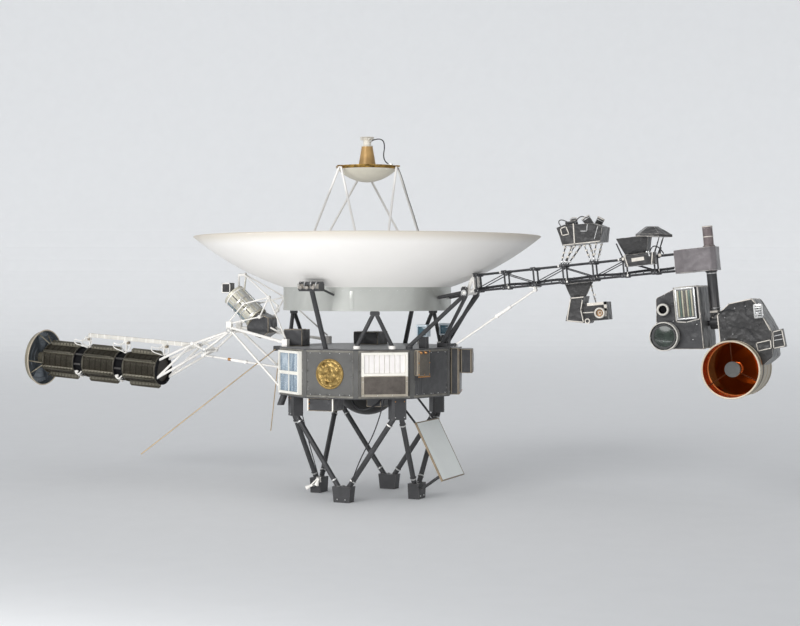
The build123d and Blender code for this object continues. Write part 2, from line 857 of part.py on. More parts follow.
# Azimuth housing, with the mast's bore
housing_outline = Polyline(
    (housing_start, -chord_half - 12),
    (housing_shoulder, -housing_half_width),
    (housing_end - 40, -housing_half_width),
    (housing_end, -housing_half_width + 45),
    (housing_end, housing_half_width - 45),
    (housing_end - 40, housing_half_width),
    (housing_shoulder, housing_half_width),
    (housing_start, chord_half + 12),
    close=True,
)
housing = Pos(0, 0, housing_bottom) * extrude(make_face(housing_outline), housing_top - housing_bottom)
mast_bore = mast_radius + bore_clearance
housing -= rod((mast_place, 0, housing_bottom - 50), (mast_place, 0, housing_top + 50), mast_bore)
parts["azimuth_housing"] = [on(boom, housing)]

# Cosmic ray unit on the boom, on eight short legs
unit_low = 364
frame_top = science_depth + 4
cosmic_outline = Polyline(
    (1066, unit_low),
    (1452, unit_low),
    (1484, 510),
    (1385, 556),
    (1240, 560),
    (1100, 571),
    (1019, 548),
    (1042, 454),
    close=True,
)
cosmic = extrude(Plane.XZ * make_face(cosmic_outline), 140, both=True)
# Particle telescopes on its top: (along, across, height, lean along, lean across, radius)
telescope_rows = [(1330, -70, 572, -28, 0, 42), (1395, 62, 560, 34, 0, 38), (1150, 60, 580, 0, 32, 34)]
for along, across, height, lean, roll, radius in telescope_rows:
    cosmic += Pos(along, across, height) * Rot(roll, lean, 0) * Cylinder(radius, 96)
parts["cosmic_ray_unit"] = [on(boom, cosmic)]
leg_places = (
    (frame_places[3] - 10, 1085),
    (frame_places[3] + 12, 1190),
    (frame_places[4] - 10, 1270),
    (frame_places[4] + 12, 1400),
)
parts["cosmic_ray_unit"] += [
    on(boom, level_strut((low, side * chord_half, frame_top), (high, side * 100, unit_low), 7))
    for low, high in leg_places
    for side in (-1, 1)
]

# Charged particle unit under the boom on its pylon
pylon_low = -150
pylon_outline = Polyline((1010, -10), (1305, -10), (1215, pylon_low), (1060, pylon_low), close=True)
pylon = extrude(Plane.XZ * make_face(pylon_outline), 8, both=True)
pylon_plate = slab((1010, -chord_half - 12, -14), (1350, chord_half + 12, -4 - seat))
parts["charged_particle_unit"] = [on(boom, pylon + pylon_plate)]
particle_outline = Polyline(
    (1085, pylon_low - seat),
    (1222, pylon_low - seat),
    (1184, -282),
    (1196, -413),
    (1014, -378),
    close=True,
)
particle = extrude(Plane.XZ * make_face(particle_outline), 105, both=True)
particle += slab((1150, -75, -400), (1440, 80, -224))
particle += rod((1370, -120, -328), (1370, 60, -328), 50) + rod((1239, -115, -398), (1239, 40, -398), 24)
particle -= rod((1370, -121, -328), (1370, -80, -328), 36)
parts["charged_particle_unit"] += [on(boom, particle)]

# Plasma unit: a box on the boom's side, and a wedge above it under a six-sided roof
plasma_side = chord_half + longeron_radius + 4 + seat
plasma_box = slab((1685, -205, 90), (1985, -plasma_side, 206))
parts["plasma_unit"] = [on(boom, chamfer(plasma_box.edges().filter_by(Axis.Z), 12))]
wedge_low, wedge_high = 214, 380
wedge = loft([Pos(1772, 0, wedge_low) * Rectangle(216, 130), Pos(1752, 0, wedge_high) * Rectangle(322, 170)])
wedge += slab((frame_places[5] - 10, -85, frame_top + seat), (frame_places[6] - 6, 85, frame_top + 12))
wedge += slab((1690, -60, frame_top + 6), (1850, 60, wedge_low + 6))
roof_place, roof_low, roof_tilt = 1948, 362, 7
roof_at = Pos(roof_place, 0, roof_low) * Rot(0, roof_tilt, 0)
roof = extrude(RegularPolygon(182, 6), 26)
roof += loft([Pos(0, 0, 26) * RegularPolygon(176, 6), Pos(-20, 0, 100) * RegularPolygon(62, 6)])
parts["plasma_unit"] += [on(boom, wedge + roof_at * roof)]
for side in (-1, 1):
    post_foot = (frame_places[6] + 6, side * chord_half, frame_top)
    roof_post = level_strut(post_foot, (roof_place + 86, side * 80, roof_low + 20), 7)
    roof_post -= roof_at * Pos(0, 0, 200 - seat) * Box(400, 400, 400)
    parts["plasma_unit"] += [on(boom, roof_post)]

# Mast and elevation drive
axis_z = -elevation_drop
mast = rod((mast_place, 0, axis_z + actuator_radius * 0.6), (mast_place, 0, mast_top), mast_radius)
mast += rod((mast_place, 0, housing_top + seat), (mast_place, 0, housing_top + 14), mast_radius + 9)
mast += rod((mast_place, 0, housing_bottom - 14), (mast_place, 0, housing_bottom - seat), mast_radius + 9)
mast -= rod((mast_place, 0, mast_top - 120), (mast_place, 0, mast_top + 5), mast_radius - mast_wall)
drive_half = actuator_length / 2
drive = rod((mast_place - drive_half, 0, axis_z), (mast_place + drive_half, 0, axis_z), actuator_radius)
mast += drive
shaft_bore = platform_shaft_radius + bore_clearance
mast -= rod((mast_place - 200, 0, axis_z), (mast_place + 200, 0, axis_z), shaft_bore)
parts["scan_mast"] = [on(boom, mast)]

# Scan platform: shaft, camera box and the infrared group
box_left, box_right = 1940, mast_place - drive_half - camera_gap
group_left = mast_place + drive_half + group_gap
shaft_start, shaft_end = (box_right + seat, 0, axis_z), (group_left - seat, 0, axis_z)
parts["platform_shaft"] = [on(boom, rod(shaft_start, shaft_end, platform_shaft_radius))]
camera_outline = Polyline(
    (box_left, -723),
    (box_right, -760),
    (box_right, -154),
    (box_left + 267, -151),
    (box_left + 42, -238),
    close=True,
)
camera_half = 285
camera_box = extrude(Plane.XZ * make_face(camera_outline), camera_half, both=True)
parts["camera_housing"] = [on(boom, chamfer(camera_box.edges().filter_by(Axis.Y), 12))]
camera_front = -camera_half - seat


def barrel(x, z, radius, length, bore, bore_depth):
    """An open-mouthed barrel on the camera box's -Y face."""
    mouth = camera_front - length
    tube = rod((x, mouth, z), (x, camera_front, z), radius)
    return tube - rod((x, mouth - 5, z), (x, mouth + bore_depth, z), bore)


parts["camera_barrels"] = [
    on(boom, barrel(2045, -608, 135, 100, 118, 80)),
    on(boom, barrel(2056, -354, 54, 75, 40, 55)),
    on(boom, slab((2177, camera_front - 42, -465), (2366, camera_front, -166))),
]

# Infrared telescope: a wide open shell with a concave mirror, under a body block
group_outline = Polyline(
    (group_left, -708),
    (group_left, -444),
    (2647, -348),
    (2868, -320),
    (2897, -361),
    (3017, -630),
    (3008, -881),
    (2909, -960),
    close=True,
)
group_half = 210
group = extrude(Plane.XZ * make_face(group_outline), group_half, both=True)
group = chamfer(group.edges().filter_by(Axis.Y), 10)
group -= rod((infrared_x, -400, infrared_z), (infrared_x, 400, infrared_z), infrared_radius + seat)
parts["instrument_block"] = [on(boom, group)]
sight = Plane(origin=(infrared_x, 0, infrared_z), x_dir=(1, 0, 0), z_dir=(0, -1, 0))
band_length = 28
bore_radius = infrared_radius - infrared_wall
shell_outline = Polyline(
    *upright([
        (mirror_radius, mirror_rim),
        (bore_radius, mirror_rim),
        (bore_radius, infrared_front),
        (infrared_radius + infrared_band, infrared_front),
        (infrared_radius + infrared_band, infrared_front - band_length),
        (infrared_radius, infrared_front - band_length),
        (infrared_radius, -infrared_back + band_length),
        (infrared_radius + infrared_band, -infrared_back + band_length),
        (infrared_radius + infrared_band, -infrared_back),
        (0, -infrared_back),
        (0, mirror_vertex),
    ])
)
mirror_middle = mirror_vertex + (mirror_rim - mirror_vertex) / 4
mirror_points = [(0, mirror_vertex), (mirror_radius / 2, mirror_middle), (mirror_radius, mirror_rim)]
mirror_arc = ThreePointArc(*upright(mirror_points))
parts["infrared_telescope"] = [on(boom, on(sight, spun([mirror_arc, shell_outline])))]
secondary_height = 245
secondary = Pos(0, 0, secondary_height) * Cylinder(secondary_radius, 34)
secondary += Pos(0, 0, secondary_height - 32) * Cone(secondary_radius * 0.55, secondary_radius * 0.85, 34)
for turn in (90, 210, 330):
    reach = polar(bore_radius - 2 * seat, turn, secondary_height)
    secondary += rod((0, 0, secondary_height), reach, 6)
parts["secondary_mirror"] = [on(boom, on(sight, secondary))]
slot_outline = Polyline((3017 + seat, -645), (3113, -628), (3129, -796), (3011 + seat, -811), close=True)
slot_unit = Pos(0, -150, 0) * extrude(Plane.XZ * make_face(slot_outline), 34, both=True)
silver_unit = slab((2880, -group_half - 50, -511), (2967, -group_half - seat, -379))
parts["polarimeter_unit"] = [on(boom, slot_unit), on(boom, silver_unit)]

# Folding brace of the science boom
parts["science_brace_lower"] = [link(science_brace[0], science_brace[1])]
parts["science_brace_upper"] = [forked_link(science_brace[2], science_brace[1])]

# Generator boom: outrigger and hinge fittings
pivot_x, pivot_z = generator_hinge[0], generator_hinge[2]


def generator_lug(side):
    low = (pivot_x - 30, side * generator_lug_offset - generator_lug_width / 2, pivot_z - 34)
    high = (pivot_x + 34, side * generator_lug_offset + generator_lug_width / 2, pivot_z + 97)
    bore = rod((pivot_x, -300, pivot_z), (pivot_x, 300, pivot_z), generator_shaft_radius + bore_clearance)
    return slab(low, high) - bore


parts["generator_outrigger"] = [generator_lug(side) for side in (-1, 1)]
lug_face = pivot_x + 34
bracket_place = (-740, 500)
bracket_rise = 45
side_turn = 180 - half_turn
outrigger = []
for side, offset, rise in ((-1, 170, 54), (1, 140, 45)):
    y = side * generator_lug_offset
    along = (1, 0, 0)
    bracket = (bracket_place[0], side * bracket_place[1], bus_top + bracket_rise)
    outrigger.append(faced_rod((lug_face, y, pivot_z + 26), bracket, 16, along, along))
    outward = polar(1, side * side_turn)
    foot = outward * half + Vector(0, 0, bus_bottom + rise) + outward.rotate(Axis.Z, 90) * offset
    outrigger.append(faced_rod((lug_face, y, pivot_z - 16), foot, 12, along, outward))
parts["generator_outrigger"] += outrigger
corner_pads = [
    slab(
        (bracket_place[0], side * bracket_place[1] - 30, bus_top + seat),
        (bracket_place[0] + 60, side * bracket_place[1] + 30, bus_top + 80),
    )
    for side in (-1, 1)
]
generator_pivot = generator_brace[0]
back_pad = slab((-post_out - 40, -26, generator_pivot[1] - 40), (-post_out - seat, 26, generator_pivot[1] + 40))
back_pad += brace_ears(generator_pivot, (-post_out - 20, generator_pivot[1]))
parts["generator_outrigger"] += corner_pads + [back_pad]

# Generators in tandem, in axes that run outwards along the stack
stack = Plane(
    origin=(generator_axis_start[0], 0, generator_axis_start[1]),
    x_dir=(0, 1, 0),
    z_dir=(-cos(radians(generator_tilt)), 0, sin(radians(generator_tilt))),
)


def generator():
    """One generator, from the stack's start outwards: a six-sided case with flanges and a fin on each corner."""
    sides = RegularPolygon(generator_flat, generator_fins, major_radius=False)
    flats = Rot(0, 0, half_fin) * extrude(sides, generator_length, both=True)
    case = Cylinder(generator_case, generator_length) & flats
    body = Pos(0, 0, generator_length / 2) * case
    for place in (generator_flange_thickness / 2, generator_length - generator_flange_thickness / 2):
        body += Pos(0, 0, place) * Cylinder(generator_flange, generator_flange_thickness)
    low, high = generator_flat - 12, generator_fin_tip
    fin_outline = [
        (low, 8),
        (high - 20, 12),
        (high, 34),
        (high, generator_length - 34),
        (high - 20, generator_length - 12),
        (low, generator_length - 8),
    ]
    fin_face = make_face(Polyline(*fin_outline, close=True))
    fin = extrude(Plane.XZ * fin_face, generator_fin_thickness / 2, both=True)
    for k in range(generator_fins):
        body += Rot(0, 0, (2 * k + 1) * half_fin) * fin
    return body


half_fin = 180 / generator_fins
for name, k in (("generator_inner", 0), ("generator_middle", 1), ("generator_outer", 2)):
    parts[name] = [on(stack, Pos(0, 0, k * generator_pitch) * generator())]
coupling_length = generator_pitch - generator_length - 2 * seat
coupling_flange = 12


def coupling():
    """The waisted spacer between two generators."""
    body = Cylinder(coupling_radius, coupling_length)
    for place in (-1, 1):
        flange_at = place * (coupling_length - coupling_flange) / 2
        body += Pos(0, 0, flange_at) * Cylinder(generator_flange, coupling_flange)
    return body


parts["generator_couplings"] = [
    on(stack, Pos(0, 0, k * generator_pitch - coupling_length / 2 - seat) * coupling())
    for k in range(1, generator_count)
]
stack_length = generator_pitch * (generator_count - 1) + generator_length
shield_rim = stack_length + shield_gap
shield_floor = shield_rim + shield_depth
shield_outline = Polyline(
    *upright([
        (0, stack_length + seat),
        (shield_hub, stack_length + seat),
        (shield_hub, shield_floor),
        (shield_floor_radius - shield_wall, shield_floor),
        (shield_radius - shield_wall, shield_rim),
        (shield_radius, shield_rim),
        (shield_floor_radius, shield_floor + shield_wall),
        (0, shield_floor + shield_wall),
    ]),
    close=True,
)
parts["end_shield"] = [on(stack, spun(shield_outline))]
shield_struts = [
    level_strut(
        polar(generator_flange - 18, turn + side * 4, stack_length),
        polar(shield_floor_radius - 26, turn + side * 18.5, shield_floor),
        shield_strut_radius,
    )
    for turn in (36, 156, 276)
    for side in (-1, 1)
]
parts["end_shield"] += [on(stack, strut) for strut in shield_struts]

# Boom frame between the hinge shaft and the inner generator's end ring
shaft_reach = generator_lug_offset + generator_lug_width / 2
ring_width = 34
ring_depth = 18
end_ring = Cylinder(generator_flange, ring_depth) - Cylinder(generator_flange - ring_width, 2 * ring_depth)
boom_body = on(stack, Pos(0, 0, -seat - ring_depth / 2) * end_ring)
boom_body += rod((pivot_x, -shaft_reach, pivot_z), (pivot_x, shaft_reach, pivot_z), generator_shaft_radius)
ring_middle = generator_flange - ring_width / 2
ring_points = {
    (side, level): stack.from_local_coords(
        Vector(
            side * ring_middle * cos(radians(turn)),
            -level * ring_middle * sin(radians(turn)),
            -seat - ring_depth / 2,
        )
    )
    for side in (-1, 1)
    for level, turn in ((-1, 35), (1, 50))
}
hub_radius = 24
low_knot_at, high_knot_at = (-1925, 1528), (-2080, 1600)
for side in (-1, 1):
    hub = Vector(pivot_x, side * 55, pivot_z)
    low_knot = Vector(low_knot_at[0], side * 120, low_knot_at[1])
    high_knot = Vector(high_knot_at[0], side * 125, high_knot_at[1])
    boom_body += rod(hub + Vector(0, -22, 0), hub + Vector(0, 22, 0), hub_radius)
    boom_body += rod(low_knot + Vector(0, -22, 0), low_knot + Vector(0, 22, 0), hub_radius)
    boom_body += rod(high_knot + Vector(0, -18, 0), high_knot + Vector(0, 18, 0), hub_radius - 4)
    for start, end in (
        (hub, low_knot),
        (hub, high_knot),
        (low_knot, high_knot),
        (low_knot, ring_points[side, -1]),
        (high_knot, ring_points[side, 1]),
        (high_knot, ring_points[side, -1]),
    ):
        boom_body += rod(start, end, boom_tube_radius)
cross_x, cross_z = low_knot_at
boom_body += rod((cross_x, -110, cross_z), (cross_x, 110, cross_z), boom_tube_radius)
boom_body += brace_ears(generator_brace[2], low_knot_at)
parts["generator_boom_frame"] = [boom_body]

# Cable tray above the stack, on posts from the end ring and the couplings
tray_rise = 312
tray_start, tray_end = -470, 1020
tray = Pos(0, -tray_rise, (tray_start + tray_end) / 2) * Box(tray_width, tray_height, tray_end - tray_start)
post_places = (
    (-seat - ring_depth / 2, generator_flange),
    (generator_pitch - coupling_length / 2 - seat, coupling_radius),
    (2 * generator_pitch - coupling_length - seat + coupling_flange / 2, generator_flange),
)
tray_posts = []
for along, base in post_places:
    low, high = base + seat, tray_rise - tray_height / 2 - seat
    tray_posts.append(Pos(0, -(low + high) / 2, along) * Box(22, high - low, 10))
parts["cable_tray"] = [on(stack, piece) for piece in [tray] + tray_posts]

# Folding brace of the generator boom
parts["generator_brace_inner"] = [link(generator_brace[0], generator_brace[1])]
parts["generator_brace_outer"] = [forked_link(generator_brace[2], generator_brace[1])]

# Whip antennas and their root box
root_box_top = bus_top - cover_thickness - 4
root_box = slab((whip_root[0] - 30, -45, whip_root[2] - 40), (-post_out - seat, 45, root_box_top))
whips = []
for side in (-1, 1):
    along = Vector(whip_out, side * whip_side, whip_down).normalized()
    start = Vector(whip_root) + Vector(0, side * 45, -20)
    whips.append(faced_rod(start, start + along * whip_length, whip_radius, (0, 1, 0), along))
parts["whip_antennas"] = [root_box] + whips

# Magnetometer canister on its base block, which struts carry between the hinge lugs and the bus
low_end = Vector(canister_low[0], 0, canister_low[1])
high_end = Vector(canister_high[0], 0, canister_high[1])
axis = (high_end - low_end).normalized()
canister = rod(low_end, high_end, canister_radius) + rod(low_end, low_end + axis * 12, canister_radius + 6)
canister += rod(high_end - axis * 26, high_end, canister_radius + 4)
sensor_box = (-1697, 2216)
canister += rod(high_end - axis * 20, (sensor_box[0], 0, sensor_box[1]), 20)
canister += slab((sensor_box[0] - 55, -45, sensor_box[1] - 55), (sensor_box[0] + 55, 45, sensor_box[1] + 55))
bar_left, bar_right = cage_top[0] - 90, cage_top[0]
canister += rod((bar_left, 0, cage_top[1]), (bar_right, 0, cage_top[1]), 14)
canister += rod((bar_right - 18, 0, cage_top[1]), (bar_right, 0, cage_top[1]), 25)
for top, foot in ((bar_left, (-1560, 2200)), (bar_right, (-1495, 2170))):
    canister += rod((top, 0, cage_top[1]), (foot[0], 0, foot[1]), 10)
canister += Pos(bar_left, 0, cage_top[1] + 38) * Sphere(30)
parts["magnetometer_canister"] = [canister]
across = Vector(-axis.Z, 0, axis.X)
seat_point = low_end - axis * seat
base_right = -1135
base_outline = [
    seat_point + across * 110,
    seat_point - across * 90,
    Vector(base_right, 0, 1893),
    Vector(base_right, 0, 1733),
    Vector(base_right - 100, 0, 1666),
    Vector(base_right - 260, 0, 1735),
]
base_half = 105
base = extrude(make_face(Polyline(*base_outline, close=True)), base_half, both=True)
parts["magnetometer_base"] = [base]

# Cage of tubes that carries the canister's top, and the post under its base
post_face = -930
truss = [slab((post_face, -60, bus_top + seat), (post_face + 60, 60, bus_top + 110))]
along = (1, 0, 0)
lug_top = pivot_z + 97
for side in (-1, 1):
    base_side, post_side = (base_right, side * 62, 1790), (post_face, side * 40, bus_top + 84)
    truss.append(faced_rod(base_side, post_side, 10, along, along))
    apex, knot, collar = (Vector(x, side * y, z) for x, y, z in (cage_apex, cage_knot, cage_collar))
    lug = (pivot_x, side * generator_lug_offset, lug_top)
    lug_side = (lug_face, side * generator_lug_offset, pivot_z + 80)
    pad_top = (bracket_place[0] + 30, side * bracket_place[1], bus_top + 80)
    upright_axis = (0, 0, 1)
    tubes = [
        knot_rod(lug, knot, cage_tube_radius, upright_axis),
        rod(knot, apex, cage_tube_radius),
        rod(apex, collar, cage_tube_radius),
        knot_rod(pad_top, apex, cage_tube_radius, upright_axis),
        knot_rod(lug_side, collar, cage_tube_radius, along),
        rod(collar, (collar.X, side * (base_half + seat), collar.Z), cage_tube_radius),
        knot_rod((cage_top[0], side * 14, cage_top[1] - 6), apex, cage_tube_radius, along),
    ]
    wide = Vector(0, 13, 0)
    tubes += [rod(place - wide, place + wide, cage_tube_radius + 5) for place in (apex, knot, collar)]
    if side < 0:
        elbow, drop = Vector(-978, -190, 2029), Vector(-976, -190, 1977)
        tubes += [rod(apex, elbow, cage_tube_radius), rod(elbow, drop, cage_tube_radius)]
        tubes += [rod(elbow - wide, elbow + wide, cage_tube_radius + 3), Pos(*drop) * Sphere(24)]
    cage = tubes[0]
    for tube in tubes[1:]:
        cage += tube
    truss.append(cage)
parts["canister_truss"] = truss

os.makedirs("parts", exist_ok=True)
for name, pieces in parts.items():
    solids = [solid for piece in pieces for solid in piece.solids()]
    export_step(Compound(children=solids) if len(solids) > 1 else solids[0], f"parts/{name}.step")
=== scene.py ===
from math import cos, pi, radians, sin

import bmesh
import bpy
from mathutils import Matrix, Vector, noise


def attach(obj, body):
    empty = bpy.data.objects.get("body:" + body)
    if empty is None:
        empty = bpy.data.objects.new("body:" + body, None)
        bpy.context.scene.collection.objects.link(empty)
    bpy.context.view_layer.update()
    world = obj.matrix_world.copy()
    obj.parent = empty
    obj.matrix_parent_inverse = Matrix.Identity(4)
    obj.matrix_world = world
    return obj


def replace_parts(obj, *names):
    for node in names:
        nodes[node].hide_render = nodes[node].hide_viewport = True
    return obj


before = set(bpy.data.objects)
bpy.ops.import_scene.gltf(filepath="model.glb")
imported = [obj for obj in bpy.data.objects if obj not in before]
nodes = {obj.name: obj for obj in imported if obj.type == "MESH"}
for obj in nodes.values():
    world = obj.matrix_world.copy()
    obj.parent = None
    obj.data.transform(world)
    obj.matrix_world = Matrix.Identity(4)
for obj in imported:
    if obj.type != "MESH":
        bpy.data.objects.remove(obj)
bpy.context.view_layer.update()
scene = bpy.context.scene
scene.view_settings.view_transform = "Standard"

# Studio: a level camera in front of the probe and a little to its right end, a pale sweep of
# painted floor with a far wall, three broad lamps, and a long low strip light that fills the
# dish's underside.
PHOTO_TURN = 25
camera = bpy.data.objects.new("photo_camera", bpy.data.cameras.new("photo_camera"))
camera.location = (6.762, -14.501, 2.25)
camera.rotation_euler = (radians(90), 0, radians(PHOTO_TURN))
camera.data.lens = 68.04
camera.data.sensor_width = 36
camera.data.shift_x = 0.041
camera.data.shift_y = -0.035
scene.collection.objects.link(camera)
scene.camera = camera


def aim(name, light, direction, place=(0, 0, 0)):
    """A lamp at its place, shining along that direction."""
    placed = bpy.data.objects.new(name, light)
    placed.location = place
    placed.rotation_euler = Vector(direction).to_track_quat("-Z", "Y").to_euler()
    placed.visible_camera = False
    scene.collection.objects.link(placed)


for name, strength, width, direction in (
    ("key_lamp", 1.0, 30, (0.18, 0.86, -0.38)),
    ("side_lamp", 0.35, 60, (0.85, 0.5, -0.12)),
    ("right_lamp", 0.40, 70, (-0.80, 0.45, -0.40)),
):
    sun = bpy.data.lights.new(name, "SUN")
    sun.energy = strength
    sun.angle = radians(width)
    aim(name, sun, direction)
strip = bpy.data.lights.new("strip_light", "AREA")
strip.shape = "RECTANGLE"
strip.size = 7.0
strip.size_y = 0.5
strip.energy = 520
aim("strip_light", strip, (-0.12, 0.9, 0.22), (0.2, -9.2, 0.32))
scene.objects["strip_light"].visible_glossy = False
world = bpy.data.worlds.new("studio_light")
world.use_nodes = True
world.node_tree.nodes["Background"].inputs["Color"].default_value = (0.95, 0.97, 1.0, 1)
world.node_tree.nodes["Background"].inputs["Strength"].default_value = 0.42
scene.world = world


def put(tree, kind, sockets=None, **settings):
    """One shader node, with its sockets and settings."""
    made = tree.nodes.new(kind)
    for key, value in settings.items():
        setattr(made, key, value)
    for key, value in (sockets or {}).items():
        made.inputs[key].default_value = value
    return made


def tone(colour, share=1.0):
    """A colour made lighter or darker, with its alpha."""
    return tuple(min(1.0, c * share) for c in colour) + (1.0,)


def finish(name, colour, rough=0.5, metal=0.0, mottle=0.08, patch=3.0, rough_play=0.1, grain=90.0,
           bump=0.1, depth=0.001, crinkle=0.0, crinkle_scale=22.0, sheen=0.0, coat=0.0, second=None,
           specular=0.5, worn=None, stretch=None):
    """A surface with soft patches of tone, a fine grain, worn edges and, on foil, sharp crinkles."""
    material = bpy.data.materials.new(name)
    material.use_nodes = True
    tree = material.node_tree
    link = tree.links.new
    shader = tree.nodes["Principled BSDF"]
    place = put(tree, "ShaderNodeTexCoord")
    cloudy = {"Scale": patch, "Detail": 7.0, "Roughness": 0.62, "Distortion": 0.4}
    patches = put(tree, "ShaderNodeTexNoise", cloudy)
    ramp = put(tree, "ShaderNodeValToRGB")
    ramp.color_ramp.elements[0].position = 0.3
    ramp.color_ramp.elements[1].position = 0.7
    ramp.color_ramp.elements[0].color = tone(colour, 1 - mottle)
    ramp.color_ramp.elements[1].color = tone(second, 1) if second else tone(colour, 1 + mottle)
    if stretch:
        drawn = put(tree, "ShaderNodeMapping", {"Scale": stretch})
        link(place.outputs["Object"], drawn.inputs["Vector"])
        link(drawn.outputs["Vector"], patches.inputs["Vector"])
    else:
        link(place.outputs["Object"], patches.inputs["Vector"])
    link(patches.outputs["Fac"], ramp.inputs["Fac"])
    shade = ramp.outputs["Color"]
    if worn:
        bevel = put(tree, "ShaderNodeBevel", {"Radius": 0.003}, samples=4)
        true = put(tree, "ShaderNodeNewGeometry")
        turn = put(tree, "ShaderNodeVectorMath", operation="DOT_PRODUCT")
        edge = put(
            tree, "ShaderNodeMapRange", {"From Min": 0.985, "From Max": 0.9, "To Min": 0.0, "To Max": 0.7},
        )
        rub = put(tree, "ShaderNodeMix", {"B": tone(worn)}, data_type="RGBA")
        link(bevel.outputs["Normal"], turn.inputs[0])
        link(true.outputs["True Normal"], turn.inputs[1])
        link(turn.outputs["Value"], edge.inputs["Value"])
        link(edge.outputs["Result"], rub.inputs["Factor"])
        link(shade, rub.inputs["A"])
        shade = rub.outputs["Result"]
    link(shade, shader.inputs["Base Color"])
    fine = put(tree, "ShaderNodeTexNoise", {"Scale": grain, "Detail": 4.0})
    link(place.outputs["Object"], fine.inputs["Vector"])
    least, most = max(0.02, rough - rough_play), min(1.0, rough + rough_play)
    shine = put(tree, "ShaderNodeMapRange", {"To Min": least, "To Max": most})
    link(fine.outputs["Fac"], shine.inputs["Value"])
    link(shine.outputs["Result"], shader.inputs["Roughness"])
    last = put(tree, "ShaderNodeBump", {"Strength": bump, "Distance": depth})
    link(fine.outputs["Fac"], last.inputs["Height"])
    if crinkle:
        warp = put(tree, "ShaderNodeTexNoise", {"Scale": crinkle_scale * 0.6, "Detail": 3.0})
        mix = put(tree, "ShaderNodeVectorMath", operation="MULTIPLY_ADD")
        mix.inputs[1].default_value = (0.05, 0.05, 0.05)
        cells = put(tree, "ShaderNodeTexVoronoi", {"Scale": crinkle_scale}, feature="F1")
        folds = put(tree, "ShaderNodeBump", {"Strength": crinkle, "Distance": 0.012})
        link(place.outputs["Object"], warp.inputs["Vector"])
        link(warp.outputs["Color"], mix.inputs[0])
        link(place.outputs["Object"], mix.inputs[2])
        link(mix.outputs["Vector"], cells.inputs["Vector"])
        link(cells.outputs["Distance"], folds.inputs["Height"])
        link(last.outputs["Normal"], folds.inputs["Normal"])
        last = folds
    link(last.outputs["Normal"], shader.inputs["Normal"])
    shader.inputs["Metallic"].default_value = metal
    shader.inputs["Sheen Weight"].default_value = sheen
    shader.inputs["Coat Weight"].default_value = coat
    shader.inputs["Specular IOR Level"].default_value = specular
    return material


def paint(material, *names):
    """Carried-over parts take a finish."""
    for node in names:
        slots = nodes[node].data.materials
        slots.clear()
        slots.append(material)


SWEEP_WIDTH = 90
sweep = bmesh.new()
profile = [
    sweep.verts.new((0, y, z)) for y, z in ((-40, 0), (22, 0), (26, 0.5), (29, 2.2), (30.6, 5), (31, 20))
]
rims = [sweep.edges.new(pair) for pair in zip(profile, profile[1:])]
swept = bmesh.ops.extrude_edge_only(sweep, edges=rims)
moved = [v for v in swept["geom"] if isinstance(v, bmesh.types.BMVert)]
bmesh.ops.translate(sweep, verts=moved, vec=(SWEEP_WIDTH, 0, 0))
bmesh.ops.translate(sweep, verts=sweep.verts, vec=(-SWEEP_WIDTH / 2, 0, 0))
bmesh.ops.rotate(
    sweep, verts=sweep.verts, cent=(0, 0, 0), matrix=Matrix.Rotation(radians(PHOTO_TURN), 3, "Z"),
)
bmesh.ops.recalc_face_normals(sweep, faces=sweep.faces)
floor_data = bpy.data.meshes.new("studio_floor")
sweep.to_mesh(floor_data)
sweep.free()
floor = bpy.data.objects.new("studio_floor", floor_data)
scene.collection.objects.link(floor)
bend = floor.modifiers.new("round_sweep", "SUBSURF")
bend.levels = bend.render_levels = 3
floor_data.materials.append(finish("pale_floor", (0.86, 0.87, 0.88), rough=0.9, mottle=0.01, bump=0.02))

# Bus: ten flat bays wrapped in satin blankets, with a narrow tape along every edge and rows of
# press studs. Each blanket is pulled flat over its bay and puckers a little between the tapes.
BUS_OUT = 0.890
BUS_MIDDLE = 1.355
BAY_TURNS = [-162 + 36 * k for k in range(10)]
black_blanket = finish(
    "black_blanket", (0.036, 0.036, 0.038), rough=0.40, rough_play=0.12, mottle=0.25, patch=5, grain=160,
    bump=0.25, depth=0.0015, crinkle=0.35, crinkle_scale=14, sheen=0.3,
)
bus_satin = finish(
    "bus_satin", (0.085, 0.084, 0.080), rough=0.42, rough_play=0.12, mottle=0.22, patch=3, grain=160,
    bump=0.25,
    depth=0.0015, crinkle=0.25, crinkle_scale=9, sheen=0.25,
)
bus_edge = finish("bus_edge", (0.155, 0.148, 0.130), mottle=0.35, patch=14, grain=200, bump=0.4, crinkle=0.5)
silver = finish("silver_metal", (0.70, 0.70, 0.69), rough=0.3, metal=0.9, mottle=0.12, patch=40, grain=300)


def plain_copy(node):
    """A joined copy of a part's mesh, its flat faces whole."""
    bm = bmesh.new()
    bm.from_mesh(nodes[node].data)
    bmesh.ops.remove_doubles(bm, verts=bm.verts, dist=2e-5)
    bmesh.ops.dissolve_limit(bm, angle_limit=radians(1.5), verts=bm.verts, edges=bm.edges)
    return bm


def piece(bm, name, body, materials, smooth=30):
    """The finished mesh as an object that rides on a body, smooth except at its sharp edges."""
    mesh = bpy.data.meshes.new(name)
    for face in bm.faces:
        face.smooth = True
    bm.to_mesh(mesh)
    bm.free()
    mesh.set_sharp_from_angle(angle=radians(smooth))
    for material in materials:
        mesh.materials.append(material)
    made = bpy.data.objects.new(name, mesh)
    scene.collection.objects.link(made)
    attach(made, body)
    return made


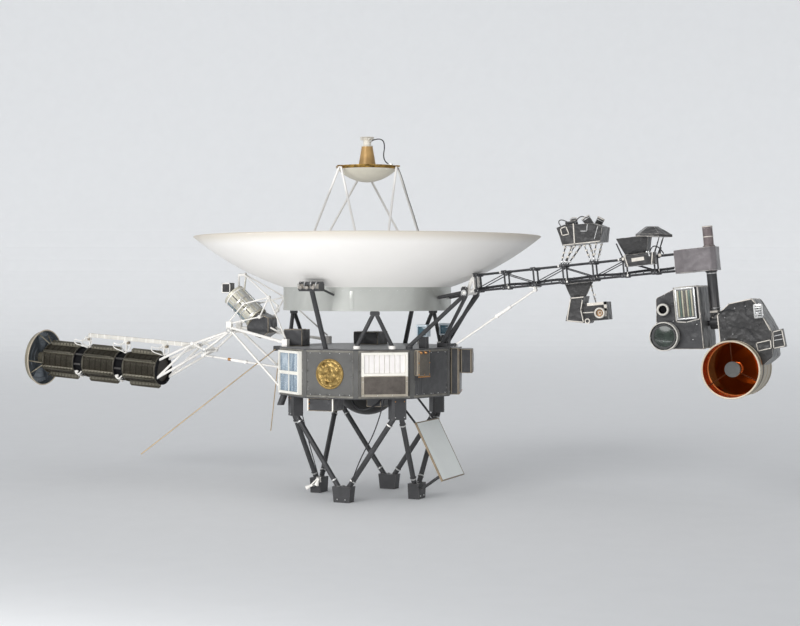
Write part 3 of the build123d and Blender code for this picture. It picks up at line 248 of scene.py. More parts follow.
def wrapped(node, body, materials, tape, edge=0.022, pucker=0.006, seed=0.0, angle=30, pitch=9.0):
    """A blanket over a part: taped edges, and cloth that puckers inwards between them."""
    bm = plain_copy(node)
    sharp = [e for e in bm.edges if e.is_manifold and e.calc_face_angle(0) > radians(angle)]
    taped = bmesh.ops.bevel(
        bm, geom=sharp, offset=tape, offset_type="OFFSET", segments=2, profile=0.5, affect="EDGES",
        material=-1, clamp_overlap=True,
    )
    for face in taped["faces"]:
        face.material_index = 1
    bmesh.ops.triangulate(bm, faces=bm.faces)
    for _ in range(7):
        long = [e for e in bm.edges if e.calc_length() > edge]
        if not long:
            break
        bmesh.ops.subdivide_edges(bm, edges=long, cuts=1)
        bmesh.ops.triangulate(bm, faces=[f for f in bm.faces if len(f.verts) > 3])
    bm.normal_update()
    shift = Vector((seed, seed * 1.7, seed * 0.6))
    moves = []
    for v in bm.verts:
        p = v.co * pitch + shift
        fold = abs(noise.noise(p)) + 0.5 * abs(noise.noise(p * 2.3 + shift))
        moves.append(v.normal * pucker * (0.25 - 1.2 * fold))
    for v, step in zip(bm.verts, moves):
        v.co += step
    made = piece(bm, node + "_blanket", body, materials, smooth=70)
    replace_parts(made, node)
    return made


def tint(verts, mark):
    """The faces on those points take that finish."""
    for face in {f for v in verts for f in v.link_faces}:
        face.material_index = mark


def block(bm, low, high, round_by=0.0, mark=0, place=Matrix()):
    """A block between two corners of a place's own axes, its edges rounded."""
    low, high = Vector(low), Vector(high)
    fit = place @ Matrix.Translation((low + high) / 2) @ Matrix.Diagonal((*(high - low), 1))
    verts = bmesh.ops.create_cube(bm, size=1, matrix=fit)["verts"]
    tint(verts, mark)
    if round_by:
        edges = list({e for v in verts for e in v.link_edges})
        bmesh.ops.bevel(
            bm, geom=edges, offset=round_by, offset_type="OFFSET", segments=2, profile=0.5, affect="EDGES",
            material=-1,
        )


def screw(bm, place, at=(0, 0, 0), radius=0.006, mark=0):
    """A low screw head or stud on a surface, at (x, y, z) of the place's axes, z outwards."""
    made = bmesh.ops.create_cone(
        bm, cap_ends=True, segments=8, radius1=radius, radius2=radius * 0.65, depth=radius * 0.8,
        matrix=place @ Matrix.Translation(at),
    )
    tint(made["verts"], mark)


def bay_axes(turn, out=BUS_OUT):
    """Axes of a bus side: x along it, y up and z outwards, from its middle."""
    t = radians(turn)
    return Matrix((
        (-sin(t), 0, cos(t), out * cos(t)), (cos(t), 0, sin(t), out * sin(t)), (0, 1, 0, BUS_MIDDLE),
        (0, 0, 0, 1),
    ))


SHADED_BAY_START = 0.76
bays = wrapped(
    "bay_panels", "spacecraft", [bus_satin, bus_edge, black_blanket], tape=0.004, edge=0.035, pucker=0.003,
)
# Painted shade: bay blanket faces past this x, turned away from the lamps, take the black blanket.
for face in bays.data.polygons:
    if face.center.x > SHADED_BAY_START and face.material_index == 0:
        face.material_index = 2
paint(bus_satin, "corner_posts")
paint(finish("bay_core", (0.05, 0.05, 0.052), rough=0.6, mottle=0.2), "electronics_bays")
paint(black_blanket, "bus_covers")
paint(finish("tank_metal", (0.018, 0.017, 0.016), rough=0.4, metal=0.4, mottle=0.2), "propellant_tank")
trim = bmesh.new()
for turn in BAY_TURNS:
    side = bay_axes(turn)
    for height in (-0.229, 0.229):
        block(trim, (-0.262, height - 0.010, -0.001), (0.262, height + 0.010, 0.0025), 0.001, 0, side)
        for k in range(5):
            screw(trim, side, (-0.22 + 0.11 * k, height * 0.91, 0.001), 0.0055, 1)
piece(trim, "bay_tapes", "spacecraft", [bus_edge, silver])

# Two louver panels: white frames screwed over a bay, with rows of bright metal blades that open
# and shut by themselves; the side panel's blades are blued mirror metal.
LOUVER_FRONT = -54
LOUVER_SIDE = -126
LOUVER_SPLIT = BUS_MIDDLE - 0.02
louver_white = finish("louver_white", (0.74, 0.72, 0.66), rough=0.45, mottle=0.06, grain=260)
blade_bright = finish("blade_bright", (0.88, 0.85, 0.83), rough=0.35, metal=0.1, mottle=0.04, patch=10)
blade_dull = finish("blade_dull", (0.115, 0.100, 0.088), rough=0.35, metal=0.4, mottle=0.25, patch=14)
blade_blue = finish(
    "blade_blue", (0.13, 0.22, 0.32), second=(0.62, 0.70, 0.76), rough=0.25, metal=0.5, mottle=0.30, patch=26,
    stretch=(1.0, 1.0, 0.12),
)
frame_beige = finish("frame_beige", (0.30, 0.27, 0.22), rough=0.45, mottle=0.15, patch=14)


def tinted(node, name, body, materials, choose, smooth=30, cut=()):
    """A copy of a part whose faces take different finishes, chosen by middle and normal."""
    bm = plain_copy(node)
    for point, normal in cut:
        every = list(bm.verts) + list(bm.edges) + list(bm.faces)
        bmesh.ops.bisect_plane(bm, geom=every, plane_co=point, plane_no=normal, dist=1e-6)
    bm.normal_update()
    for face in bm.faces:
        face.material_index = choose(face.calc_center_median(), face.normal)
    made = piece(bm, name, body, materials, smooth)
    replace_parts(made, node)


def blade_finish(centre, normal):
    """Blued blades on the side panel; bright ones over dull ones on the front panel."""
    return 2 if centre.x < 0 else int(centre.z <= LOUVER_SPLIT)


split = [((0, 0, LOUVER_SPLIT), (0, 0, 1))]
tinted(
    "louver_blades", "louver_blade_rows", "spacecraft",
    [blade_bright, blade_dull, blade_blue],
    blade_finish, cut=split,
)
tinted(
    "louver_frames", "louver_frame_paint", "spacecraft", [louver_white, frame_beige],
    lambda centre, normal: int(centre.x > 0 and centre.z < LOUVER_SPLIT), cut=split,
)
louver_trim = bmesh.new()
for turn, marks in ((LOUVER_FRONT, (2, 0, 3)), (LOUVER_SIDE, (0, 4, 4))):
    side = bay_axes(turn, BUS_OUT + 0.040)
    block(louver_trim, (-0.213, -0.022, -0.012), (0.213, -0.012, -0.003), 0.001, marks[0], side)
    block(louver_trim, (-0.213, -0.012, -0.0395), (0.213, 0.199, -0.030), 0.001, marks[1], side)
    block(louver_trim, (-0.213, -0.199, -0.0395), (0.213, -0.022, -0.030), 0.001, marks[2], side)
    if turn == LOUVER_SIDE:
        block(louver_trim, (-0.004, -0.199, -0.012), (0.004, 0.199, -0.003), 0.001, 0, side)
    else:
        block(louver_trim, (-0.207, -0.198, -0.007), (0.207, -0.024, -0.004), 0.001, 3, side)
        for k in range(20):
            screw(louver_trim, side, (-0.19 + 0.02 * k, -0.006, -0.004), 0.003, 3)
    for x in (-0.223, -0.075, 0.075, 0.223):
        for y in (-0.208, 0.208):
            screw(louver_trim, side, (x, y, 0.0015), 0.005, 1)
    for y in (-0.07, 0.07):
        for x in (-0.223, 0.223):
            screw(louver_trim, side, (x, y, 0.0015), 0.005, 1)
piece(louver_trim, "louver_rails", "spacecraft", [
    louver_white, silver, frame_beige, blade_dull, blade_blue,
])

# Gilded disc: a gold-plated metal disc under a thin gilt cover, held in a turned rim on the front
# bay. Its face is bare, with plain turned rings and the soft dents of thin plate.
gold = finish(
    "gold_plate", (0.17, 0.10, 0.028), second=(0.62, 0.43, 0.16), rough=0.30, metal=1.0, mottle=0.3, patch=17,
    grain=60, bump=0.5, depth=0.004, crinkle=0.5, crinkle_scale=24,
)
gold_rim = finish("gold_rim", (0.40, 0.27, 0.10), rough=0.35, metal=1.0, mottle=0.2, patch=20)


def lathe(bm, points, place=Matrix(), steps=32, mark=0, closed=False):
    """An outline of (radius, height) points turned about the place's z axis."""
    part = bmesh.new()
    line = [part.verts.new((r, 0, h)) for r, h in points]
    runs = list(zip(line, line[1:])) + ([(line[-1], line[0])] if closed else [])
    edges = [part.edges.new(pair) for pair in runs]
    bmesh.ops.spin(
        part, geom=line + edges, cent=(0, 0, 0), axis=(0, 0, 1), angle=2 * pi, steps=steps, use_merge=True,
        use_duplicate=False,
    )
    bmesh.ops.remove_doubles(part, verts=part.verts, dist=1e-5)
    bmesh.ops.recalc_face_normals(part, faces=part.faces)
    part.transform(place)
    held = bpy.data.meshes.new("part_shape")
    part.to_mesh(held)
    part.free()
    first = len(bm.faces)
    bm.from_mesh(held)
    bpy.data.meshes.remove(held)
    bm.faces.ensure_lookup_table()
    for face in bm.faces[first:]:
        face.material_index = mark


def screw_circle(bm, place, count, circle, height, radius, mark=0, start=0.0):
    """Screws on a circle about the place's z axis, their heads along it."""
    for k in range(count):
        t = radians(360 / count * k + start)
        screw(bm, place, (circle * cos(t), circle * sin(t), height), radius, mark)


disc = bmesh.new()
front_bay = bay_axes(-90, BUS_OUT + 0.0003)
face_rings = [(0.0, 0.0068), (0.012, 0.0068)]
for radius in (0.030, 0.078, 0.122):
    face_rings += [(radius, 0.0064), (radius + 0.002, 0.0071), (radius + 0.004, 0.0064)]
lathe(disc, face_rings + [(0.137, 0.0058), (0.138, 0.0), (0.0, 0.0)], front_bay, 64)
rim = [(0.138, 0.0), (0.138, 0.0088), (0.142, 0.0098), (0.150, 0.0095), (0.153, 0.0070), (0.153, 0.0)]
lathe(disc, rim, front_bay, 64, 1, closed=True)
screw_circle(disc, front_bay, 12, 0.1465, 0.0098, 0.003, 1, start=15)
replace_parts(piece(disc, "gilded_cover", "spacecraft", [gold, gold_rim]), "gilded_disc")

# Equipment boxes on and under the bus: folded metal cases in black blankets, with lids held by
# copper-headed screws and earthing straps down to the bus.
RIGHT_BOX = -18
END_BOX = 18
orange_metal = finish("orange_metal", (0.52, 0.26, 0.10), rough=0.35, metal=0.8, mottle=0.2, patch=30)
tan_tape = finish("tan_tape", (0.26, 0.22, 0.165), mottle=0.2, patch=9, grain=220, bump=0.3)
case_tan = finish("case_tan", (0.10, 0.088, 0.072), rough=0.45, mottle=0.25, patch=12, grain=180, crinkle=0.3)


def move(x, y, z):
    """A place at that point."""
    return Matrix.Translation((x, y, z))


def turned(degrees, axis="Z"):
    """A turn about one axis."""
    return Matrix.Rotation(radians(degrees), 4, axis)


wrapped("bus_boxes", "spacecraft", [black_blanket, tan_tape], tape=0.007, edge=0.03)
box_trim = bmesh.new()
side = bay_axes(RIGHT_BOX)
for x in (-0.255, -0.174, -0.093):
    for y in (-0.005, 0.11, 0.225):
        if (x, y) != (-0.174, 0.11):
            screw(box_trim, side, (x, y, 0.0615), 0.007)
block(box_trim, (-0.245, -0.010, 0.058), (-0.103, 0.205, 0.0635), 0.002, 2, side)
for x in (-0.225, -0.155):
    screw(box_trim, side, (x, 0.212, 0.066), 0.018)
block(box_trim, (-0.268, -0.035, 0.0595), (-0.086, -0.022, 0.0640), 0.001, 0, side)
for x in (-0.215, -0.150):
    block(box_trim, (x, -0.205, -0.001), (x + 0.022, -0.030, 0.003), 0.001, 1, side)
side = bay_axes(END_BOX)
for x in (-0.20, 0.0, 0.20):
    for y in (-0.22, 0.22):
        screw(box_trim, side, (x, y, 0.101), 0.007)
for x, y, z in ((-0.67, -0.32, 1.786), (-0.185, 0.485, 1.746)):
    for dx in (-0.07, 0.07):
        for dy in (-0.05, 0.05):
            screw(box_trim, move(x + dx, y + dy, z))
for z in (1.085, 1.000, 1.045):
    screw(box_trim, move(-0.255, -0.8515, z) @ turned(90, "X"), radius=0.009)
for x in (-0.268, 0.012):
    block(box_trim, (x - 0.007, -0.853, 0.975), (x + 0.007, -0.849, 1.103), 0.001, 3)
piece(box_trim, "box_trim", "spacecraft", [orange_metal, black_blanket, case_tan, louver_white])

# Adapter truss: dark painted tubes with bright collars, end blocks and feet that once held the
# rocket stage, with nuts on the feet, a small nozzle beside the left foot and cables down to it.
FOOT_CIRCLE = 0.57
NODE_CIRCLE = 0.78
NODE_TURN = 42
COLLAR_REACH = 0.070
dark_paint = finish(
    "dark_paint", (0.040, 0.040, 0.042), rough=0.42, mottle=0.25, patch=7, grain=200, bump=0.15,
    worn=(0.22, 0.21, 0.20),
)
paint(dark_paint, "adapter_feet", "adapter_nodes", "adapter_struts")


def bar(bm, start, end, radius, sides=12, mark=0, place=Matrix()):
    """A round bar between two points."""
    start, end = place @ Vector(start), place @ Vector(end)
    fit = Matrix.Translation((start + end) / 2) @ (end - start).to_track_quat("Z", "Y").to_matrix().to_4x4()
    made = bmesh.ops.create_cone(
        bm, cap_ends=True, segments=sides, radius1=radius, radius2=radius, depth=(end - start).length,
        matrix=fit,
    )
    tint(made["verts"], mark)


def wire(bm, points, radius, mark=0, place=Matrix()):
    """A bent wire or cable along those points."""
    curve = bpy.data.curves.new("wire_path", "CURVE")
    curve.dimensions = "3D"
    spline = curve.splines.new("NURBS")
    spline.points.add(len(points) - 1)
    for point, at in zip(spline.points, points):
        point.co = (*(place @ Vector(at)), 1)
    spline.order_u = 3
    spline.use_endpoint_u = True
    spline.resolution_u = 5
    curve.bevel_depth = radius
    curve.bevel_resolution = 1
    curve.use_fill_caps = True
    held = bpy.data.objects.new("wire_path", curve)
    mesh = bpy.data.meshes.new_from_object(held)
    first = len(bm.faces)
    bm.from_mesh(mesh)
    bm.faces.ensure_lookup_table()
    for face in bm.faces[first:]:
        face.material_index = mark
    bpy.data.objects.remove(held)
    bpy.data.curves.remove(curve)
    bpy.data.meshes.remove(mesh)


white_paint = finish("white_paint", (0.79, 0.77, 0.73), rough=0.45, mottle=0.08, patch=12, grain=250)
black_cable = finish("black_cable", (0.022, 0.022, 0.024), mottle=0.2, patch=20)
foot_trim = bmesh.new()
for turn in (0, 90, 180, 270):
    foot = turned(turn) @ move(FOOT_CIRCLE, 0, 0)
    for y in (-0.07, 0.07):
        nut = [(0, 0.199), (0.012, 0.199), (0.012, 0.191), (0, 0.191)]
        lathe(foot_trim, nut, foot @ move(0, y * 0.4, 0), 6)
        block(foot_trim, (-0.055, y * 0.6 - 0.018, 0.1905), (0.055, y * 0.6 + 0.018, 0.1935), 0.001, 3, foot)
    for y in (-0.045, 0.045):
        screw(foot_trim, foot @ turned(90, "Y"), (-0.06, y, 0.061), 0.010)
    for side_of in (-1, 1):
        corner = radians(turn + side_of * (NODE_TURN if turn % 180 == 0 else 90 - NODE_TURN))
        low = foot @ Vector((0, side_of * 0.066, 0.190))
        high = Vector((NODE_CIRCLE * cos(corner), NODE_CIRCLE * sin(corner), 0.89))
        high -= side_of * 0.048 * Vector((-sin(corner), cos(corner), 0))
        along = (high - low).normalized()
        for at in (low + along * COLLAR_REACH, high - along * COLLAR_REACH):
            bar(foot_trim, at - along * 0.007, at + along * 0.007, 0.0338, 32)
jet_at = Vector((-0.600, -0.135, 0.110))
jet_elbow = jet_at + Vector((0.085, 0, 0.085))
bell = [(0.007, 0.0), (0.012, -0.008), (0.020, -0.030), (0.026, -0.055), (0.023, -0.055), (0.010, -0.012)]
valve = [(0, 0.028), (0.014, 0.026), (0.016, 0.0), (0.010, -0.010), (0, -0.010)]
for shift, lean in (((0, 0, 0), 62), ((0.085, 0.0, 0.060), 20)):
    jet = Matrix.Translation(jet_at + Vector(shift)) @ turned(lean, "Y")
    lathe(foot_trim, bell, jet, 20, 1, closed=True)
    lathe(foot_trim, valve, jet, 16, 1)
bar(foot_trim, jet_at + Vector((0.01, 0, 0.015)), jet_elbow, 0.008, 10, 1)
bar(foot_trim, jet_elbow, (-0.515, -0.105, 0.170), 0.008, 10)
bar(foot_trim, jet_at + Vector((0.03, 0, 0.01)), (-0.580, -0.100, 0.100), 0.008, 10)
block(foot_trim, (-0.545, -0.122, 0.150), (-0.490, -0.098, 0.205), 0.004, 1)
for points, radius in (
    ([(-0.52, -0.11, 0.20), (-0.54, -0.15, 0.34), (-0.56, -0.28, 0.62), (-0.54, -0.42, 0.84),
      (-0.545, -0.490, 1.00)], 0.005),
    ([(0.10, -0.62, 0.19), (0.20, -0.66, 0.45), (0.42, -0.66, 0.80), (0.47, -0.60, 1.10)], 0.006),
    ([(0.10, -0.60, 1.10), (0.16, -0.66, 1.02), (0.28, -0.70, 0.98), (0.40, -0.66, 1.03),
      (0.44, -0.60, 1.10)], 0.010),
):
    wire(foot_trim, points, radius, 2)
for turn in (-180 + NODE_TURN, -NODE_TURN, NODE_TURN, 180 - NODE_TURN):
    node_face = turned(turn) @ move(NODE_CIRCLE + 0.065, 0, 1.0) @ turned(90, "Y")
    for y, z, mark in ((-0.05, 0.075, 4), (0.05, 0.075, 4), (-0.05, -0.085, 0), (0.05, -0.085, 0)):
        screw(foot_trim, node_face, (-z, y, 0.001), 0.008, mark)
piece(foot_trim, "foot_fittings", "spacecraft", [
    silver, white_paint, black_cable, dark_paint, orange_metal,
])

# Target plate: a pale panel for the cameras to look at, of painted sheet in a thin tan edging,
# carried on thin struts from the truss.
plate_white = finish("plate_white", (0.84, 0.87, 0.85), rough=0.6, mottle=0.04, patch=2, grain=120)
tan_edge = finish("tan_edge", (0.22, 0.17, 0.11), mottle=0.2, patch=10)
paint(plate_white, "target_plate")
paint(dark_paint, "target_plate_struts")
plate_axes = move(0.690, 0, 0.845) @ turned(63, "Y")
plate_edge = bmesh.new()
for low, high in (
    ((-0.0015, -0.3015), (0.010, 0.3015)), ((0.640, -0.3015), (0.6515, 0.3015)),
    ((0.010, -0.3015), (0.640, -0.290)), ((0.010, 0.290), (0.640, 0.3015)),
):
    block(plate_edge, (*low, -0.0195), (*high, 0.0015), 0.001, 0, plate_axes)
piece(plate_edge, "plate_edging", "spacecraft", [tan_edge])

# Main reflector: a moulded dish of graphite cloth over honeycomb, sprayed with white thermal
# paint with a beige band of painted shade toward its rim, on a spun metal ring with two rows of rivets.
RING_OUT = 0.885
CAP_CIRCLE, CAP_HEIGHT = 0.856, 1.6055
dish_white = finish("dish_white", (0.84, 0.82, 0.79), mottle=0.025, patch=1.2, grain=150, bump=0.05)


def painted_rim_shade(material, start, end, colour):
    """Painted shade: the paint's colour drifts to another between two radii about the dish axis."""
    tree = material.node_tree
    shader = tree.nodes["Principled BSDF"]
    under = shader.inputs["Base Color"].links[0].from_socket
    place = put(tree, "ShaderNodeTexCoord")
    flat = put(tree, "ShaderNodeVectorMath", operation="MULTIPLY")
    flat.inputs[1].default_value = (1, 1, 0)
    radius = put(tree, "ShaderNodeVectorMath", operation="LENGTH")
    drift = put(
        tree, "ShaderNodeMapRange", {"From Min": start, "From Max": end}, interpolation_type="SMOOTHSTEP",
    )
    mix = put(tree, "ShaderNodeMix", {"B": tone(colour)}, data_type="RGBA")
    tree.links.new(place.outputs["Object"], flat.inputs[0])
    tree.links.new(flat.outputs["Vector"], radius.inputs[0])
    tree.links.new(radius.outputs["Value"], drift.inputs["Value"])
    tree.links.new(drift.outputs["Result"], mix.inputs["Factor"])
    tree.links.new(under, mix.inputs["A"])
    tree.links.new(mix.outputs["Result"], shader.inputs["Base Color"])


def band(bm, place, inner, outer, low, high, steps=32, mark=0):
    """A flat-sided ring about the place's z axis."""
    lathe(bm, [(inner, low), (outer, low), (outer, high), (inner, high)], place, steps, mark, closed=True)


def side_screws(bm, place, count, out, height, radius, mark=0, start=0.0):
    """Screws round a drum's side, their heads outwards."""
    for k in range(count):
        facing = place @ turned(360 / count * k + start) @ turned(90, "Y")
        screw(bm, facing, (-height, 0, out), radius, mark)


# Painted shade: a beige band all round the dish's rim.
painted_rim_shade(dish_white, 1.70, 1.84, (0.66, 0.61, 0.53))
paint(dish_white, "dish_reflector")
ring_metal = finish("ring_metal", (0.52, 0.53, 0.50), rough=0.34, metal=0.6, mottle=0.14, patch=1.5, grain=60)
paint(ring_metal, "dish_ring")
ring_trim = bmesh.new()
for height in (2.000, 2.195):
    side_screws(ring_trim, Matrix(), 60, RING_OUT + 0.001, height, 0.0055, start=3)
band(ring_trim, Matrix(), RING_OUT - 0.001, RING_OUT + 0.004, 1.987, 2.010, 96, 1)
for turn in (-75, 15, 105, 195):
    out = turned(turn) @ move(RING_OUT, 0, 2.10)
    block(ring_trim, (-0.002, -0.022, -0.09), (0.003, 0.022, 0.09), 0.001, 1, out)
piece(ring_trim, "ring_rivets", "spacecraft", [silver, ring_metal])
paint(dark_paint, "truss_fittings", "truss_struts")
cap_trim = bmesh.new()
cap = [(0.022, 0.030), (0.030, 0.034), (0.035, 0.028), (0.036, 0.0), (0.0335, 0.0), (0.0335, 0.024)]
for apex in (60, 180, 300):
    for turn in (apex - 12, apex + 12):
        t = radians(turn)
        lathe(cap_trim, cap, move(CAP_CIRCLE * cos(t), CAP_CIRCLE * sin(t), CAP_HEIGHT), 24, closed=True)
piece(cap_trim, "strut_caps", "spacecraft", [white_paint])

# Subreflector: a small curved shell on six thin painted tubes, in a gilt-edged plate with the
# brown horn of the upper feed on top, a black feed cable round its side and one down a leg.
SUB_EDGE = 3.4715
SUB_TOP = 3.5033
FEED_NECK = 3.7225
sub_paint = finish("sub_paint", (0.62, 0.59, 0.50), rough=0.4, mottle=0.05, patch=4, grain=200)
gilt_rim = finish(
    "gilt_rim", (0.07, 0.035, 0.008), second=(0.62, 0.38, 0.10), rough=0.32, metal=0.85, patch=22,
)
horn_brown = finish("horn_brown", (0.44, 0.27, 0.10), rough=0.42, metal=0.3, mottle=0.12, patch=10)
neck_metal = finish("neck_metal", (0.72, 0.68, 0.60), rough=0.38, metal=0.2, mottle=0.10, patch=14)
paint(dish_white, "subreflector_legs")
paint(horn_brown, "centre_feed")
tinted(
    "subreflector", "subreflector_shell", "spacecraft", [sub_paint, gilt_rim],
    lambda centre, normal: int(centre.z > SUB_EDGE), cut=[((0, 0, SUB_EDGE), (0, 0, 1))],
)
tinted(
    "upper_feed", "upper_horn", "spacecraft", [horn_brown, neck_metal],
    lambda centre, normal: int(centre.z > FEED_NECK),
)
tinted(
    "subreflector_rim", "gilt_plate", "spacecraft", [gilt_rim, sub_paint],
    lambda centre, normal: int(normal.z > 0.7),
)
sub_trim = bmesh.new()
screw_circle(sub_trim, Matrix(), 24, 0.300, SUB_TOP + 0.001, 0.006, start=7.5)
for radius, low, high in (
    (0.099, 3.5036, 3.514), (0.060, 3.713, 3.722), (0.0735, 3.789, 3.7965), (0.0735, 3.806, 3.8136),
):
    bead = [(radius - 0.012, low), (radius, low), (radius + 0.002, (low + high) / 2), (radius, high)]
    lathe(sub_trim, bead + [(radius - 0.012, high)], steps=36, mark=1, closed=True)
screw_circle(sub_trim, Matrix(), 8, 0.055, 3.8125, 0.005)
feed_line = [
    (0.045, -0.02, 3.765), (0.12, -0.03, 3.792), (0.205, -0.04, 3.775), (0.225, -0.045, 3.70),
    (0.205, -0.045, 3.60), (0.235, -0.04, 3.53), (0.285, -0.03, 3.506),
]
wire(sub_trim, feed_line, 0.006, 2)
leg_head, leg_foot = Vector((0.345, 0.014, 3.480)), Vector((0.4875, 0.696, 2.235))
slack = [leg_head.lerp(leg_foot, k / 8) + Vector((0.015, -0.006, 0)) * (1 + 0.5 * (k % 2)) for k in range(8)]
wire(sub_trim, [(0.285, -0.03, 3.500), (0.325, -0.015, 3.489), *slack, leg_foot], 0.003, 2)
bar(sub_trim, (0.040, -0.02, 3.763), (0.066, -0.022, 3.775), 0.011, 10)
block(sub_trim, (0.262, -0.05, SUB_TOP), (0.305, -0.01, SUB_TOP + 0.018), 0.002)
piece(sub_trim, "feed_trim", "spacecraft", [silver, neck_metal, black_cable])

# Small units on the bus: clusters of thrusters under the dish rim, star trackers with pale
# hoods, and two long metal whips from a root box.
CLUSTER_OUT = 1.185
TRACKER_X, TRACKER_BODY = 0.775, 1.727
WHIP_ROOT = 0.046
bell_metal = finish("bell_metal", (0.42, 0.39, 0.35), rough=0.35, metal=0.85, mottle=0.25, patch=30)
tracker_case = finish("tracker_case", (0.46, 0.52, 0.56), rough=0.4, mottle=0.12, patch=8)
tracker_glass = finish("tracker_glass", (0.05, 0.10, 0.13), rough=0.12, coat=0.6, mottle=0.2, patch=12)
whip_metal = finish("whip_metal", (0.56, 0.42, 0.26), rough=0.36, metal=0.3, mottle=0.15, patch=8)


def cluster_finish(centre, normal):
    """The bells and pipes of a thruster cluster are bare metal, and its blocks are black."""
    from_middle = abs(abs(centre.y) - CLUSTER_OUT)
    near = 0.064 < from_middle < 0.10 and abs(centre.z - 2.22) < 0.05
    return int(near and normal.length > 0 and abs(normal.z) < 0.6)


tinted(
    "thruster_clusters", "thruster_bells", "spacecraft", [dark_paint, bell_metal],
    cluster_finish,
)
tinted(
    "star_trackers", "tracker_cases", "spacecraft", [tracker_case, dark_paint],
    lambda centre, normal: int(centre.z < TRACKER_BODY),
)
unit_trim = bmesh.new()
fuel_line = ((1, -0.03, 0.03), (1.15, -0.075, 0.055), (1.1, -0.09, 0.01), (1, -0.06, -0.02))
for side_of in (-1, 1):
    facing = move(0.06 * side_of, CLUSTER_OUT * side_of, 2.236) @ turned(0 if side_of < 0 else 180)
    for x in (-0.085, -0.03, 0.03, 0.085):
        wire(unit_trim, [(x * share, y, z) for share, y, z in fuel_line], 0.004, 1, facing)
    block(unit_trim, (-0.05, -0.072, 0.012), (0.05, -0.060, 0.042), 0.003, 0, facing)
    for x in (-0.035, 0.035):
        screw(unit_trim, facing @ turned(90, "X"), (x, 0.027, 0.073), 0.006, 1)
for y in (-0.30, 0.30):
    hood = move(TRACKER_X, y, 0)
    block(unit_trim, (-0.060, -0.060, 1.826), (0.060, 0.060, 1.846), 0.004, 2, hood)
    block(unit_trim, (-0.046, -0.0385, 1.737), (0.046, -0.0335, 1.826), 0.002, 3, hood)
piece(unit_trim, "unit_trim", "spacecraft", [dark_paint, silver, tracker_case, tracker_glass])
tinted(
    "whip_antennas", "whip_rods", "spacecraft", [black_blanket, whip_metal],
    lambda centre, normal: int(abs(centre.y) > WHIP_ROOT),
)

# Science boom: black graphite tubes in square frames, end to end, with a loom of black cable
# tied along it, pale lashing at its joints, and white painted arms at its root.
ROOT_X, ROOT_Z = 1.17, 2.172
HINGE_SIDE = 0.19006
FRAME_FIRST, FRAME_PITCH = 0.098, 0.308
boom_axes = move(ROOT_X, 0, ROOT_Z) @ turned(-5.5, "Y")
hinge_washer = [(0.016, 0), (0.030, 0), (0.028, 0.006), (0.016, 0.006)]
black_tube = finish(
    "black_tube", (0.030, 0.030, 0.033), rough=0.36, mottle=0.2, patch=10, grain=200, worn=(0.16, 0.16, 0.16),
)


def outwards(y):
    """A turn that points z out to that side of the probe."""
    return turned(90 if y < 0 else -90, "X")


def lump(bm, at, half, round_by, mark, place=Matrix()):
    """A block about its middle."""
    at, half = Vector(at), Vector(half)
    block(bm, at - half, at + half, round_by, mark, place)


paint(dark_paint, "science_outrigger")
paint(white_paint, "science_boom_root", "science_brace_lower", "science_brace_upper")
paint(black_tube, "science_boom_tubes", "science_boom_frames")
boom_trim = bmesh.new()
for k in range(7):
    x = FRAME_FIRST + FRAME_PITCH * k
    for y in (-0.075, 0.075):
        for z in (0.009, 0.171):
            lump(boom_trim, (x, y, z), (0.026, 0.0175, 0.0175), 0.004, 1, boom_axes)
            for dx in (-0.015, 0.015):
                screw(boom_trim, boom_axes @ outwards(y), (x + dx, z if y < 0 else -z, 0.093), 0.0042, 2)
    if k in (1, 3, 5):
        block(boom_trim, (x + 0.028, -0.0865, 0.000), (x + 0.046, -0.0625, 0.020), 0.003, 0, boom_axes)
        block(boom_trim, (x - 0.046, -0.0865, 0.160), (x - 0.030, -0.0625, 0.182), 0.003, 0, boom_axes)
loom = [(0.05, -0.055, 0.030)] + [
    (FRAME_FIRST + FRAME_PITCH * (k + 0.5) / 2, -0.056 + 0.004 * (-1) ** k, 0.033 + 0.006 * (k % 3 - 1))
    for k in range(13)
] + [(2.13, -0.05, 0.035)]
wire(boom_trim, loom, 0.011, 3, boom_axes)
wire(boom_trim, loom, 0.007, 3, boom_axes @ move(0, 0.018, 0.010))
for k in range(26):
    x = 0.11 + 0.078 * k
    bar(boom_trim, (x, -0.055, 0.033), (x + 0.006, -0.055, 0.033), 0.0155, 10, 1 if k % 4 else 0, boom_axes)
piece(boom_trim, "boom_loom", "science_boom", [white_paint, black_tube, silver, black_cable])
root_trim = bmesh.new()
for y in (-HINGE_SIDE, HINGE_SIDE):
    for x, z in ((-0.026, 0.048), (0.020, 0.048), (-0.026, -0.024), (0.020, -0.024)):
        screw(root_trim, move(ROOT_X + x, y, ROOT_Z + z) @ outwards(y), (0, 0, 0.001))
    lathe(root_trim, hinge_washer, move(ROOT_X, y, ROOT_Z) @ outwards(y), 24, closed=True)
for y in (-0.170, 0.170):
    block(root_trim, (ROOT_X - 0.030, y - 0.021, 2.236), (ROOT_X + 0.006, y + 0.021, 2.242), 0.002, 1)
piece(root_trim, "hinge_trim", "spacecraft", [silver, white_paint])

